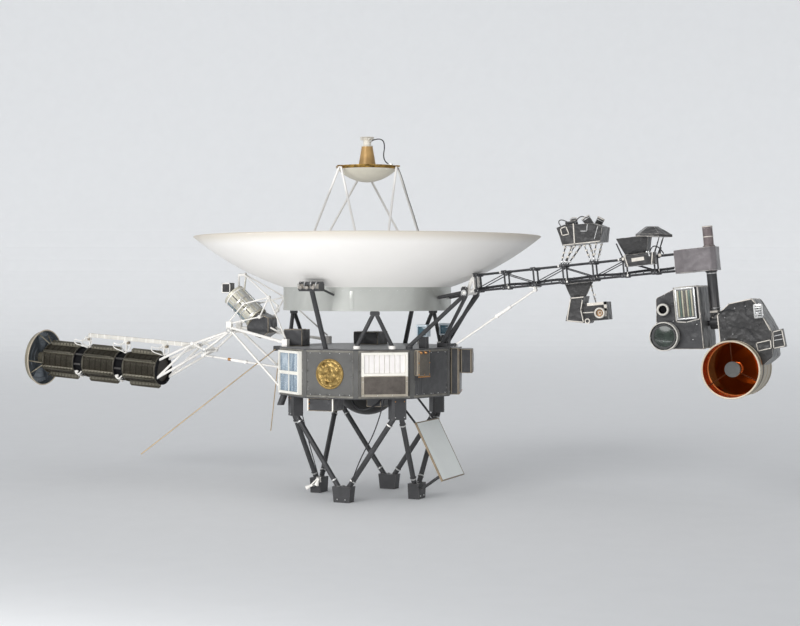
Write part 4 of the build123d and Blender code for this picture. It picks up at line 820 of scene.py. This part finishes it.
# Azimuth drive: a round-cornered case in pale quilted satin with white tape round its top and
# foot, and the hollow mast that turns in it and carries the scan platform.
MAST_AT = 2.472
MAST_SPLIT = -0.024
MAST_RADIUS = 0.0478
mast_axes = boom_axes @ move(MAST_AT, 0, 0)
boom_inverse = boom_axes.inverted()
lilac_satin = finish(
    "lilac_satin", (0.155, 0.140, 0.145), rough=0.38, rough_play=0.15, mottle=0.28, patch=6, grain=180,
    bump=0.25,
    depth=0.0015, crinkle=0.45, crinkle_scale=16, sheen=0.35,
)
white_tape = finish("white_tape", (0.62, 0.58, 0.52), mottle=0.15, patch=12, grain=220)
mast_pale = finish("mast_pale", (0.20, 0.165, 0.165), rough=0.35, metal=0.35, mottle=0.2, patch=9)
wrapped("azimuth_housing", "science_boom", [lilac_satin, white_tape], tape=0.0055, angle=50)
tinted(
    "scan_mast", "mast_case", "scan_mast", [mast_pale, dark_paint],
    lambda centre, normal: int((boom_inverse @ centre).z < MAST_SPLIT - 0.001),
    cut=[(mast_axes @ Vector((0, 0, MAST_SPLIT)), (0, 0, 1))],
)
mast_trim = bmesh.new()
for height in (0.214, 0.300, 0.398):
    band(mast_trim, mast_axes, MAST_RADIUS, 0.0505, height, height + 0.008)
side_screws(mast_trim, mast_axes, 8, 0.0485, 0.385, 0.004, 1, start=20)
for height in (-0.052, -0.385):
    band(mast_trim, mast_axes, MAST_RADIUS, 0.0510, height, height + 0.008, mark=1)
block(mast_trim, (-0.040, -0.060, -0.425), (0.048, -0.0485, -0.405), 0.003, 0, mast_axes)
block(mast_trim, (0.030, -0.060, -0.448), (0.048, -0.0485, -0.405), 0.003, 0, mast_axes)
piece(mast_trim, "mast_bands", "scan_mast", [white_tape, silver])

# Instruments on the boom: particle counters and a plasma detector in black blankets with white
# tape along the folds, on black legs with white clamps, and small open telescopes.
instrument_black = finish(
    "instrument_black", (0.030, 0.029, 0.029), rough=0.40, rough_play=0.14, mottle=0.3, patch=9, grain=160,
    bump=0.25, depth=0.0015, crinkle=0.55, crinkle_scale=20, sheen=0.35,
)
sensor_brown = finish("sensor_brown", (0.34, 0.20, 0.10), rough=0.35, metal=0.6, mottle=0.25, patch=25)


def sight(x, z, depth=0.0):
    """Axes on the boom's near side: x along the boom, y up and z towards the near side."""
    return boom_axes @ Matrix(((1, 0, 0, x), (0, 0, -1, -depth), (0, 1, 0, z), (0, 0, 0, 1)))


def tape(bm, place, points, width, thick=0.003, mark=0):
    """A strip of tape laid from point to point on the place's own flat."""
    for start, end in zip(points, points[1:]):
        start, end = Vector((*start, 0)), Vector((*end, 0))
        run = end - start
        turn = Matrix.Rotation(run.to_2d().angle_signed(Vector((1, 0))), 4, "Z")
        half = (run.length + width) / 2
        fit = place @ Matrix.Translation((start + end) / 2) @ turn
        block(bm, (-half, -width / 2, -thick / 2), (half, width / 2, thick / 2), 0, mark, fit)


for name, pucker in (("cosmic_ray_unit", 0.006), ("charged_particle_unit", 0.005), ("plasma_unit", 0.006)):
    wrapped(name, "science_boom", [instrument_black, white_tape], tape=0.0035, seed=len(name), pucker=pucker)
cosmic = bmesh.new()
for points, width, mark in (
    ([(1.190, 0.372), (1.196, 0.566)], 0.011, 0),
    ([(1.072, 0.466), (1.142, 0.474), (1.118, 0.552), (1.060, 0.536), (1.072, 0.466)], 0.009, 0),
    ([(1.075, 0.371), (1.445, 0.371)], 0.008, 0),
    ([(1.262, 0.49), (1.325, 0.483), (1.338, 0.545)], 0.006, 2),
    ([(1.395, 0.40), (1.44, 0.515)], 0.006, 2),
):
    tape(cosmic, sight(0, 0, 0.1415), points, width, mark=mark)
for x, y, z, lean, roll, radius in (
    (1.33, -0.07, 0.572, -28, 0, 0.042), (1.395, 0.062, 0.56, 34, 0, 0.038), (1.15, 0.06, 0.58, 0, 32, 0.034),
):
    stand = boom_axes @ move(x, y, z) @ turned(lean, "Y") @ turned(roll, "X")
    band(cosmic, stand, radius, radius + 0.003, 0.030, 0.036, 24, 2)
    band(cosmic, stand, radius, radius + 0.003, 0.052, 0.058, 24)
block(cosmic, (1.10, -0.100, 0.572), (1.19, -0.020, 0.600), 0.006, 1, boom_axes)
for points in (
    [(1.06, -0.10, 0.558), (1.03, -0.12, 0.60), (1.07, -0.115, 0.635), (1.12, -0.08, 0.597)],
    [(1.20, -0.06, 0.598), (1.25, -0.09, 0.64), (1.30, -0.05, 0.63), (1.33, -0.02, 0.585)],
):
    wire(cosmic, points, 0.005, 1, boom_axes)
for foot_x, head_x in ((1.012, 1.085), (1.034, 1.190), (1.320, 1.270), (1.342, 1.400)):
    for share in (0.15, 0.38, 0.62, 0.88):
        for side_of in (-1, 1):
            x = foot_x + (head_x - foot_x) * share
            at = (x, side_of * (0.075 + 0.025 * share), 0.180 + 0.190 * share)
            lump(cosmic, at, (0.012, 0.010, 0.009), 0.003, 0 if share > 0.2 else 2, boom_axes)
piece(cosmic, "counter_trim", "science_boom", [white_tape, instrument_black, silver])

particle = bmesh.new()
body_face, unit_face = sight(0, 0, 0.1075), sight(0, 0, 0.0765)
tape(particle, body_face, [(1.196, -0.405), (1.030, -0.375), (1.088, -0.158), (1.216, -0.158)], 0.009)
tape(particle, body_face, [(1.196, -0.405), (1.180, -0.282), (1.205, -0.190)], 0.008)
tape(particle, unit_face, [(1.160, -0.312), (1.295, -0.315)], 0.008)
tape(particle, unit_face, [(1.255, -0.236), (1.424, -0.236), (1.424, -0.300), (1.412, -0.350)], 0.028, 0.010)
ring_at, small_at = sight(1.370, -0.328), sight(1.239, -0.398)
lens_ring = [(0.037, 0.085), (0.037, 0.121), (0.041, 0.125), (0.050, 0.125), (0.053, 0.120), (0.053, 0.085)]
lathe(particle, lens_ring, ring_at, 40, 0, closed=True)
lathe(
    particle, [(0, 0.098), (0.012, 0.100), (0.034, 0.106), (0.036, 0.100), (0.036, 0.09), (0, 0.09)], ring_at,
    40, 1,
)
lathe(particle, [(0.014, 0.103), (0.020, 0.106), (0.020, 0.098), (0.014, 0.098)], ring_at, 32, 0, closed=True)
screw_circle(particle, ring_at, 6, 0.0455, 0.1255, 0.003, 2, start=20)
band(particle, small_at, 0.017, 0.026, 0.10, 0.117, 28)
lathe(particle, [(0, 0.108), (0.017, 0.106), (0.017, 0.10), (0, 0.10)], small_at, 28, 1)
for x, z in ((1.300, -0.06), (1.300, -0.10), (1.320, -0.145), (1.320, -0.185)):
    lump(particle, (x, -0.06, z), (0.009, 0.009, 0.009), 0.003, 0, boom_axes)
unit_cable = [(1.29, -0.07, 0.0), (1.305, -0.068, -0.08), (1.31, -0.062, -0.15), (1.325, -0.05, -0.222)]
wire(particle, unit_cable, 0.005, 3, boom_axes)
piece(
    particle, "particle_trim", "science_boom",
    [white_tape, sensor_brown, silver, black_cable],
)

plasma = bmesh.new()
box_face = sight(0, 0, 0.2065)
for points, width, mark in (
    ([(1.780, 0.150), (1.868, 0.154)], 0.034, 0), ([(1.694, 0.204), (1.720, 0.095)], 0.009, 0),
    ([(1.972, 0.204), (1.955, 0.098)], 0.009, 0), ([(1.935, 0.204), (1.940, 0.175)], 0.012, 2),
):
    tape(plasma, box_face, points, width, 0.004, mark)
for x, z in ((1.705, 0.196), (1.973, 0.196), (1.712, 0.104), (1.958, 0.104)):
    screw(plasma, box_face, (x, z, 0.002), mark=2)
for x, top in ((1.655, (1.600, -0.11, 0.33)), (2.015, (2.035, -0.11, 0.25))):
    bar(plasma, (x, -0.10, 0.171), top, 0.007, 8, 1, boom_axes)
    block(plasma, (x - 0.014, -0.114, 0.160), (x + 0.014, -0.090, 0.188), 0.004, 0, boom_axes)
roof = boom_axes @ move(1.948, 0, 0.362) @ turned(7, "Y")
eaves = [(0.178 * cos(radians(60 * k)), 0.178 * sin(radians(60 * k)), 0.004) for k in range(7)]
for start, end in zip(eaves, eaves[1:]):
    bar(plasma, start, end, 0.004, 8, 0, roof)
wire(plasma, [
    (1.93, -0.13, 0.215), (1.95, -0.16, 0.25), (1.99, -0.15, 0.27), (2.03, -0.11, 0.235),
    (2.05, -0.085, 0.185),
], 0.006, 3, boom_axes)
for x in (1.905, 1.925):
    block(plasma, (x - 0.006, -0.170, 0.207), (x + 0.006, -0.150, 0.222), 0.002, 2, boom_axes)
piece(plasma, "plasma_trim", "science_boom", [white_tape, black_tube, silver, black_cable])

# Scan platform: two cameras in a blanketed box, a block of small spectrometers, and a large
# infrared telescope with a gold-coated mirror, all hung on the mast's cross shaft.
NARROW, WIDE = (2.045, -0.608), (2.056, -0.354)
INFRARED = (2.634, -0.968)
NARROW_MOUTH, WIDE_MOUTH = 0.119, 0.041
barrel_grey = finish(
    "barrel_grey", (0.10, 0.10, 0.10), rough=0.35, metal=0.3, mottle=0.25, patch=14, worn=(0.4, 0.4, 0.38),
)
bore_black = finish("bore_black", (0.006, 0.006, 0.007), rough=0.8, mottle=0.2, specular=0.15)
green_glass = finish(
    "green_glass", (0.006, 0.010, 0.008), second=(0.030, 0.045, 0.034), rough=0.16, rough_play=0.05, patch=9,
    coat=0.5,
)
ring_white = finish("ring_white", (0.52, 0.50, 0.46), rough=0.4, mottle=0.2, patch=14)
beige_bar = finish("beige_bar", (0.42, 0.40, 0.30), rough=0.4, metal=0.3, mottle=0.2, patch=20)
green_bar = finish("green_bar", (0.10, 0.15, 0.12), rough=0.35, metal=0.3, mottle=0.2, patch=20)


def off_sight(centre, sight_line):
    """How far a point is from a line of sight, given as (x, z) on the boom."""
    at = boom_inverse @ centre
    return Vector((at.x - sight_line[0], at.z - sight_line[1])).length


def barrel_finish(centre, normal):
    """The walls inside a camera's mouth are black."""
    return int(off_sight(centre, NARROW) < NARROW_MOUTH or off_sight(centre, WIDE) < WIDE_MOUTH)


wrapped("camera_housing", "scan_platform", [black_blanket, white_tape], tape=0.0045, seed=2.0, pucker=0.007)
wrapped(
    "instrument_block", "scan_platform", [instrument_black, white_tape], tape=0.004, seed=4.0, pucker=0.012,
    pitch=4.5,
)
paint(dark_paint, "platform_shaft")
tinted(
    "camera_barrels", "camera_tubes", "scan_platform", [barrel_grey, bore_black],
    barrel_finish,
)
optics = bmesh.new()
narrow, wide = sight(*NARROW), sight(*WIDE)
for points, place, steps, mark, closed in (
    ([(0.127, 0.380), (0.127, 0.3860), (0.130, 0.3880), (0.134, 0.3880), (0.1375, 0.385), (0.1375, 0.362),
      (0.1352, 0.360), (0.1352, 0.378)], narrow, 56, 0, True),
    ([(0.0, 0.362), (0.030, 0.3612), (0.060, 0.3585), (0.090, 0.3545), (0.1165, 0.348), (0.1165, 0.340),
      (0.0, 0.340)], narrow, 56, 1, False),
    ([(0.098, 0.354), (0.104, 0.362), (0.118, 0.370), (0.118, 0.348)], narrow, 56, 2, True),
    ([(0.039, 0.350), (0.039, 0.3606), (0.043, 0.3645), (0.053, 0.3645), (0.0575, 0.360), (0.0575, 0.330),
      (0.0542, 0.328), (0.0542, 0.350)], wide, 40, 0, True),
    ([(0.0, 0.330), (0.016, 0.329), (0.038, 0.322), (0.038, 0.316), (0, 0.316)], wide, 36, 5, False),
):
    lathe(optics, points, place, steps, mark, closed)
screw_circle(optics, narrow, 12, 0.1225, 0.3860, 0.0025, 3)
for height, mark in ((0.300, 3), (0.325, 0)):
    band(optics, narrow, 0.1345, 0.1375, height, height + 0.008, 56, mark)
for low, high in (
    ((2.177, -0.465), (2.366, -0.452)), ((2.177, -0.179), (2.366, -0.166)),
    ((2.177, -0.452), (2.191, -0.179)), ((2.352, -0.452), (2.366, -0.179)),
):
    block(optics, (low[0], -0.3288, low[1]), (high[0], -0.3255, high[1]), 0.001, 3, boom_axes)
for k, mark in enumerate((6, 4, 6, 7, 6, 4, 6)):
    x = 2.197 + 0.0215 * k
    block(optics, (x, -0.3345, -0.440), (x + 0.0135, -0.3265, -0.191), 0.0025, mark, boom_axes)
block(optics, (2.190, -0.3290, -0.452), (2.353, -0.3270, -0.179), 0.001, 2, boom_axes)
face = sight(0, 0, 0.2870)
grille_tape = [
    (2.160, -0.160), (2.160, -0.480), (2.255, -0.492), (2.384, -0.470), (2.384, -0.160), (2.160, -0.160),
]
tape(optics, face, grille_tape, 0.010)
for x, z in ((2.07, -0.215), (2.12, -0.19), (1.97, -0.47), (2.13, -0.47), (2.35, -0.52), (2.30, -0.66)):
    screw(optics, face, (x, z, 0.001), mark=3)
piece(optics, "camera_optics", "scan_platform", [
    ring_white, green_glass, barrel_grey, silver, green_bar, bore_black, beige_bar, case_tan,
])

SHELL_GAP = (-0.20, -0.12)
BORE_RADIUS, HUB_RADIUS = 0.2615, 0.0735
shell_beige = finish(
    "shell_beige", (0.42, 0.37, 0.29), rough=0.38, metal=0.35, mottle=0.18, patch=7, worn=(0.65, 0.6, 0.5),
)
gap_dark = finish("gap_dark", (0.045, 0.042, 0.040), rough=0.45, mottle=0.3, patch=9)
copper_dark = finish("copper_dark", (0.66, 0.21, 0.065), rough=0.25, metal=0.85, mottle=0.40, patch=5)
mirror_gold = finish(
    "mirror_gold", (0.88, 0.34, 0.10), rough=0.06, rough_play=0.03, metal=1.0, mottle=0.10, patch=5,
    bump=0.01,
)
pale_hub = finish("pale_hub", (0.075, 0.076, 0.074), rough=0.45, mottle=0.3, patch=16)
spider_copper = finish("spider_copper", (0.085, 0.028, 0.012), rough=0.4, metal=0.6, mottle=0.2, patch=14)
rim_cream = finish("rim_cream", (0.56, 0.49, 0.38), rough=0.35, metal=0.2, mottle=0.12, patch=10)


def telescope_finish(centre, normal):
    """A beige shell with one dark gap round it, and a copper bore."""
    depth = (boom_inverse @ centre).y
    if depth < 0.0 and off_sight(centre, INFRARED) < BORE_RADIUS:
        return 2
    return int(SHELL_GAP[0] < depth < SHELL_GAP[1])


boom_near = boom_axes.to_3x3() @ Vector((0, 1, 0))
tinted(
    "infrared_telescope", "telescope_shell", "scan_platform",
    [shell_beige, gap_dark, copper_dark], telescope_finish,
    cut=[(boom_axes @ Vector((0, y, 0)), boom_near) for y in SHELL_GAP],
)
tinted(
    "secondary_mirror", "secondary_hub", "scan_platform", [spider_copper, pale_hub],
    lambda centre, normal: int(off_sight(centre, INFRARED) < HUB_RADIUS),
)
mirror = bmesh.new()
dish_at = sight(*INFRARED)
arc = [(0.246 * k / 14, 0.0615 + 0.090 * (k / 14) ** 2) for k in range(15)]
lathe(mirror, arc + [(0.2475, 0.149), (0.2475, 0.055), (0.0, 0.055)], dish_at, 72)
for points, steps, mark in (
    ([(0.052, 0.062), (0.052, 0.078), (0.058, 0.080), (0.062, 0.066), (0.062, 0.060)], 40, 1),
    ([(0.246, 0.150), (0.2565, 0.156), (0.2572, 0.160), (0.2572, 0.150)], 72, 1),
    ([(0.2585, 0.347), (0.2585, 0.3505), (0.262, 0.3525), (0.270, 0.3525), (0.2735, 0.350), (0.2735, 0.345)],
     72, 2),
):
    lathe(mirror, points, dish_at, steps, mark, closed=True)
for height in (0.336, -0.236):
    side_screws(mirror, dish_at, 36, 0.2735, height, 0.0042, 3, start=5)
for height in (0.202, 0.108, -0.060):
    band(mirror, dish_at, 0.266, 0.2705, height, height + 0.010, 72, 2)
piece(mirror, "gold_mirror", "scan_platform", [
    mirror_gold, copper_dark, rim_cream, pale_hub, gap_dark,
], smooth=35)

POLARIMETER_FRONT = 3.0
group = bmesh.new()
group_face, unit_at, slot_face = sight(0, 0, 0.2125), sight(0, 0, 0.2620), sight(0, 0, 0.1855)
for place, points, width, thick, mark in (
    (group_face, [(2.535, -0.700), (2.535, -0.448), (2.650, -0.354), (2.862, -0.328)], 0.008, 0.003, 0),
    (group_face, [(2.862, -0.328), (2.890, -0.366), (3.006, -0.632)], 0.007, 0.003, 0),
    (group_face, [(2.560, -0.585), (2.640, -0.560), (2.800, -0.600), (2.862, -0.700), (2.930, -0.742)],
     0.006, 0.003, 3),
    (group_face, [(2.790, -0.345), (2.800, -0.470), (2.870, -0.530)], 0.006, 0.003, 3),
    (group_face, [(2.868, -0.742), (2.998, -0.722), (3.000, -0.798), (2.878, -0.815), (2.868, -0.742)],
     0.008, 0.004, 0),
    (unit_at, [(2.884, -0.376), (2.884, -0.382), (2.962, -0.384), (2.962, -0.505), (2.886, -0.507),
               (2.884, -0.376)], 0.008, 0.004, 2),
    (slot_face, [(3.0225, -0.652), (3.106, -0.636), (3.121, -0.788), (3.018, -0.803), (3.0225, -0.652)],
     0.008, 0.004, 0),
    (slot_face, [(3.034, -0.690), (3.100, -0.680)], 0.006, 0.004, 2),
    (slot_face, [(3.032, -0.730), (3.104, -0.722)], 0.006, 0.004, 2),
):
    tape(group, place, points, width, thick, mark)
for k in range(5):
    z = -0.495 + 0.022 * k
    block(group, (2.893, -0.268, z), (2.955, -0.259, z + 0.012), 0.002, 2 if k % 2 else 1, boom_axes)
block(group, (2.888, -0.268, -0.505), (2.960, -0.255, -0.380), 0.004, 2, boom_axes)
for x, z, radius in ((2.905, -0.405, 0.016), (2.943, -0.408, 0.013), (2.915, -0.475, 0.014)):
    band(group, sight(x, z), radius * 0.55, radius, 0.255, 0.276, 20, 2)
for x, z in (
    (2.60, -0.48), (2.70, -0.40), (2.80, -0.39), (2.66, -0.64), (2.58, -0.68), (2.90, -0.58), (2.97, -0.80),
):
    screw(group, group_face, (x, z, 0.001), 0.0055, 2)
wire(group, [
    (2.47, -0.13, -0.47), (2.50, -0.19, -0.44), (2.56, -0.22, -0.43), (2.62, -0.215, -0.40),
    (2.70, -0.214, -0.43),
], 0.007, 3, boom_axes)
piece(
    group, "block_trim", "scan_platform",
    [white_tape, instrument_black, silver, black_cable],
)
tinted(
    "polarimeter_unit", "polarimeter_cases", "scan_platform", [barrel_grey, instrument_black],
    lambda centre, normal: int((boom_inverse @ centre).x > POLARIMETER_FRONT),
)

# Generator boom: white painted tubes in a tapering frame from its hinge on the bus, held by a
# folding brace, with a square cable tray that runs above the generators.
STACK_TURN = radians(3.8)
TRAY_AT, TRAY_EDGE = -0.312, -0.286
PLATE_BACK, PLATE_RADIUS = -0.0190, 0.172
stack_axes = Matrix((
    (0, -sin(STACK_TURN), -cos(STACK_TURN), -2.55), (1, 0, 0, 0),
    (0, -cos(STACK_TURN), sin(STACK_TURN), 1.292), (0, 0, 0, 1),
))
stack_inverse = stack_axes.inverted()
tray_white = finish(
    "tray_white", (0.62, 0.60, 0.55), rough=0.4, mottle=0.14, patch=9, grain=220, worn=(0.3, 0.28, 0.25),
)


def frame_finish(centre, normal):
    """The plate behind the first generator is black."""
    at = stack_inverse @ centre
    return int(at.z > PLATE_BACK and at.to_2d().length < PLATE_RADIUS)


paint(white_paint, "generator_outrigger", "generator_brace_inner", "generator_brace_outer")
tinted(
    "generator_boom_frame", "boom_frame_paint", "generator_boom", [white_paint, bore_black],
    frame_finish,
)
tinted(
    "cable_tray", "tray_paint", "generator_boom", [tray_white, white_paint],
    lambda centre, normal: int((stack_inverse @ centre).y > TRAY_EDGE),
)
tray_trim = bmesh.new()
for k in range(16):
    z = -0.44 + 0.095 * k
    lump(tray_trim, (0, TRAY_AT, z + 0.005), (0.0215, 0.0245, 0.005), 0.002, 0 if k % 4 else 2, stack_axes)
    for side_of in (-1, 1):
        facing = stack_axes @ turned(90 * side_of, "Y")
        screw(tray_trim, facing, (-side_of * (z + 0.045), TRAY_AT, 0.0205), 0.004, 2)
for z, reach in ((-0.02, 0.14), (0.498, 0.135), (1.035, 0.155)):
    clip = stack_axes @ move(0, TRAY_AT, z)
    block(tray_trim, (-0.030, 0.023, -0.026), (0.030, 0.034, 0.026), 0.003, 0, clip)
    case_y = -reach - TRAY_AT
    for x, loop in ((-0.024, 0.13), (0.020, 0.09), (-0.010, -0.085)):
        wire(tray_trim, [
            (x, 0.018, 0.02), (x, 0.060, 0.02), (x * 1.8, 0.075, 0.02 + loop * 0.6),
            (x * 2.2, 0.050, 0.02 + loop),
            (x * 2.2, 0.115, 0.02 + loop), (x * 1.4, case_y - 0.030, 0.015), (x, case_y - 0.014, 0),
        ], 0.006, 0, clip)
    block(tray_trim, (-0.022, 0.034, -0.034), (0.022, 0.062, -0.008), 0.004, 3, clip)
    block(tray_trim, (-0.016, 0.034, 0.002), (0.016, 0.052, 0.040), 0.004, 0, clip)
    block(tray_trim, (-0.018, case_y - 0.024, -0.012), (0.018, case_y - 0.006, 0.012), 0.002, 0, clip)
piece(tray_trim, "tray_clips", "generator_boom", [white_paint, black_cable, silver, tan_tape])

# Generators: three beryllium-grey cylinders in tandem, each with closely set cooling ribs and
# six long fins, joined by waisted couplings with small pipes and brackets at their joints.
GENERATOR_PITCH, GENERATOR_CASE = 0.556, 0.152
case_brown = finish(
    "case_brown", (0.030, 0.023, 0.016), rough=0.40, metal=0.3, mottle=0.35, patch=7, grain=140,
    worn=(0.16, 0.14, 0.10),
)
fin_olive = finish(
    "fin_olive", (0.060, 0.054, 0.040), rough=0.34, metal=0.4, mottle=0.35, patch=6, grain=160,
    worn=(0.30, 0.28, 0.22),
)


def generator_finish(centre, normal):
    """Brown cases with olive fins."""
    return int((stack_inverse @ centre).to_2d().length > GENERATOR_CASE + 0.0015)


for k, name in enumerate(("generator_inner", "generator_middle", "generator_outer")):
    tinted(
        name, name + "_case", "generator_boom", [case_brown, fin_olive], generator_finish,
    )
    ribs = bmesh.new()
    case = stack_axes @ move(0, 0, GENERATOR_PITCH * k)
    tip = GENERATOR_CASE + 0.008
    for n in range(26):
        z = 0.0235 + 0.0155 * n
        rib = [(0.146, z), (tip, z + 0.001), (tip, z + 0.0045), (0.146, z + 0.0055)]
        lathe(ribs, rib, case, 30, 1 if n % 5 else 0, closed=True)
    for turn in range(30, 390, 60):
        fin = case @ turned(turn)
        for n in range(9):
            z = 0.045 + 0.044 * n
            block(ribs, (0.165, -0.0065, z - 0.004), (0.2125, 0.0065, z + 0.004), 0.001, 1, fin)
        block(ribs, (0.2085, -0.008, 0.034), (0.2135, 0.008, 0.406), 0.0015, 1, fin)
    screw_circle(ribs, case @ turned(180, "X"), 12, 0.159, 0.0015, 0.0055, 2, start=15)
    screw_circle(ribs, case, 12, 0.159, 0.4415, 0.0055, 2, start=15)
    for z in (0.001, 0.4255):
        hoop = [(0.167, z), (0.1705, z + 0.001), (0.1705, z + 0.0125), (0.167, z + 0.0135)]
        lathe(ribs, hoop, case, 48, 1, closed=True)
    piece(ribs, name + "_ribs", "generator_boom", [case_brown, fin_olive, silver])
paint(bore_black, "generator_couplings")
joint_trim = bmesh.new()
for z in (0.498, 1.054):
    joint = stack_axes @ move(0, 0, z)
    for x, y in ((-0.05, 0.150), (0.05, 0.150), (-0.155, 0.02), (0.155, 0.02), (-0.13, -0.09), (0.13, -0.09)):
        lump(joint_trim, (x, y, 0), (0.010, 0.010, 0.050), 0.003, 1, joint)
    for turn, mark in ((-150, 2), (-120, 0), (-90, 2), (-60, 0), (-30, 2), (30, 0), (90, 2), (150, 2)):
        block(joint_trim, (0.118, -0.012, -0.058), (0.146, 0.012, -0.045), 0.003, mark, joint @ turned(turn))
    leaned = joint @ turned(32)
    wire(joint_trim, [
        (-0.06, 0.155, -0.045), (-0.055, 0.185, -0.03), (-0.045, 0.192, 0.005), (-0.05, 0.175, 0.035),
        (-0.055, 0.155, 0.045),
    ], 0.008, 0, leaned)
    wire(joint_trim, [
        (-0.10, 0.125, -0.045), (-0.125, 0.150, -0.02), (-0.105, 0.165, 0.02), (-0.09, 0.130, 0.045),
    ], 0.005, 2, joint)
    for x, y in ((-0.060, 0.168), (0.0, 0.172), (0.055, 0.165)):
        block(joint_trim, (x - 0.012, y - 0.016, -0.002), (x + 0.012, y + 0.010, 0.026), 0.003, 0, leaned)
piece(joint_trim, "joint_fittings", "generator_boom", [white_paint, gap_dark, silver])

# End shield: a shallow spun pan of bluish metal on short struts, with a rolled pale lip, pressed
# rings in its floor and a row of rivets.
SHIELD_RIM, SHIELD_FLOOR, SHIELD_WALL = 1.630, 1.685, 0.28
shield_blue = finish("shield_blue", (0.16, 0.18, 0.20), rough=0.33, metal=0.7, mottle=0.3, patch=5, grain=120)
shield_tan = finish(
    "shield_tan", (0.30, 0.27, 0.20), rough=0.38, metal=0.5, mottle=0.25, patch=6, worn=(0.6, 0.55, 0.45),
)


def shield_finish(centre, normal):
    """Blued inside the pan, and tan outside and along the lip."""
    at = stack_inverse @ centre
    facing = stack_inverse.to_3x3() @ normal
    wall = at.to_2d().length > SHIELD_WALL and facing.to_2d().dot(at.to_2d()) < 0
    return int(not (facing.z < -0.2 or wall) or at.z < SHIELD_RIM - 0.005)


tinted("end_shield", "shield_pan", "generator_boom", [shield_blue, shield_tan], shield_finish)
shield_trim = bmesh.new()
rim_axes, floor_axes = stack_axes @ move(0, 0, SHIELD_RIM), stack_axes @ move(0, 0, SHIELD_FLOOR)
lip = [(0.313, -0.004), (0.324, -0.006), (0.328, 0), (0.324, 0.006), (0.316, 0.004)]
lathe(shield_trim, lip, rim_axes, 80, closed=True)
for radius in (0.12, 0.18, 0.24):
    bead = [(radius, 0.001), (radius + 0.004, -0.005), (radius + 0.010, -0.005), (radius + 0.014, 0.001)]
    lathe(shield_trim, bead, floor_axes, 72, 1, closed=True)
screw_circle(shield_trim, floor_axes @ turned(180, "X"), 36, 0.286, 0.001, 0.0045, 2)
for k in range(6):
    rib_axes = floor_axes @ turned(60 * k + 6)
    block(shield_trim, (0.068, -0.003, -0.030), (0.270, 0.003, 0.0005), 0.001, 1, rib_axes)
piece(shield_trim, "shield_lip", "generator_boom", [rim_cream, shield_blue, silver])

# Magnetometer canister: a beige case round the folded mast, banded with bright and blued strips,
# on a blanketed base, in a cage of thin white tubes with a black sensor box on its top.
CAN_RADIUS = 0.125
CAN_HEAD = 0.395
SENSOR_X, SENSOR_TOP = -1.697, 2.275
can_beige = finish("can_beige", (0.52, 0.50, 0.42), rough=0.38, metal=0.25, mottle=0.25, patch=9, grain=200)
blue_strip = finish(
    "blue_strip", (0.10, 0.17, 0.22), second=(0.50, 0.58, 0.62), rough=0.3, metal=0.5, mottle=0.25, patch=14,
)
wrapped("magnetometer_base", "spacecraft", [black_blanket, tan_tape], tape=0.006, seed=6.0, pucker=0.007)
paint(white_paint, "canister_truss")
can_low, can_high = Vector((-1.333, 0, 1.885)), Vector((-1.623, 0, 2.142))
can_along = (can_high - can_low).normalized()
can_axes = Matrix.Translation(can_low) @ Vector((0, 0, 1)).rotation_difference(can_along).to_matrix().to_4x4()
can_inverse = can_axes.inverted()
tinted(
    "magnetometer_canister", "canister_case", "spacecraft",
    [can_beige, instrument_black, white_paint],
    lambda centre, normal: 2 if centre.z > SENSOR_TOP else int((can_inverse @ centre).z > CAN_HEAD),
)
can_trim = bmesh.new()
for k in range(14):
    mark, half = ((0, 0.006), (2, 0.020), (0, 0.006), (3, 0.006))[k % 4]
    low, high = (CAN_RADIUS - 0.004, -half, 0.030), (CAN_RADIUS + 0.0035, half, 0.345)
    block(can_trim, low, high, 0.002, mark, can_axes @ turned(360 / 14 * k))
for height, mark in ((0.020, 0), (0.120, 0), (0.235, 0), (0.345, 1)):
    band(can_trim, can_axes, CAN_RADIUS - 0.002, CAN_RADIUS + 0.006, height, height + 0.014, 48, mark)
side_screws(can_trim, can_axes, 12, CAN_RADIUS + 0.0065, 0.352, 0.0055, start=10)


def frame_tape(place, x, y, width):
    """Tape round a rectangle about the place's middle."""
    tape(can_trim, place, [(-x, -y), (x, -y), (x, y), (-x, y), (-x, -y)], width, mark=1)


for y in (-0.0465, 0.0465):
    frame_tape(move(SENSOR_X, y, 2.216) @ turned(90, "X"), 0.049, 0.049, 0.009)
frame_tape(move(SENSOR_X, 0, 2.2725), 0.045, 0.038, 0.008)
for side_of in (-1, 1):
    for x, y, z in ((-1.087, 0.180, 2.117), (-1.406, 0.165, 2.046), (-1.205, 0.170, 1.905)):
        knot = move(x, side_of * y, z)
        bar(can_trim, (0, -0.016, 0), (0, 0.016, 0), 0.0185, 14, 1, knot)
        for reach in (-0.0165, 0.0165):
            screw(can_trim, knot @ move(0, reach, 0) @ outwards(reach), radius=0.008)
piece(can_trim, "canister_bands", "spacecraft", [silver, white_paint, blue_strip, gap_dark])
brace_trim = bmesh.new()
pin_cap = [(0, 0.008), (0.012, 0.008), (0.020, 0.004), (0.020, 0.0), (0, 0.0)]
for y in (-0.142, 0.142):
    lathe(brace_trim, pin_cap, move(-1.925, y, 1.528) @ outwards(y), 20, 1)
for y in (-0.1255, 0.1255):
    lathe(brace_trim, hinge_washer, move(-1.62, y, 1.753) @ outwards(y), 24, 1, closed=True)
piece(brace_trim, "knot_caps", "generator_boom", [white_paint, silver])
sleeve = bmesh.new()
brace_end, brace_middle = Vector((-2.012, 0, 1.467)), Vector((-1.469, 0, 1.404))
for start, end, radius, mark in ((0.585, 0.645, 0.017, 0), (0.22, 0.25, 0.0145, 1)):
    bar(sleeve, brace_end.lerp(brace_middle, start), brace_end.lerp(brace_middle, end), radius, 16, mark)
piece(sleeve, "brace_sleeve", "generator_brace_outer", [orange_metal, silver])
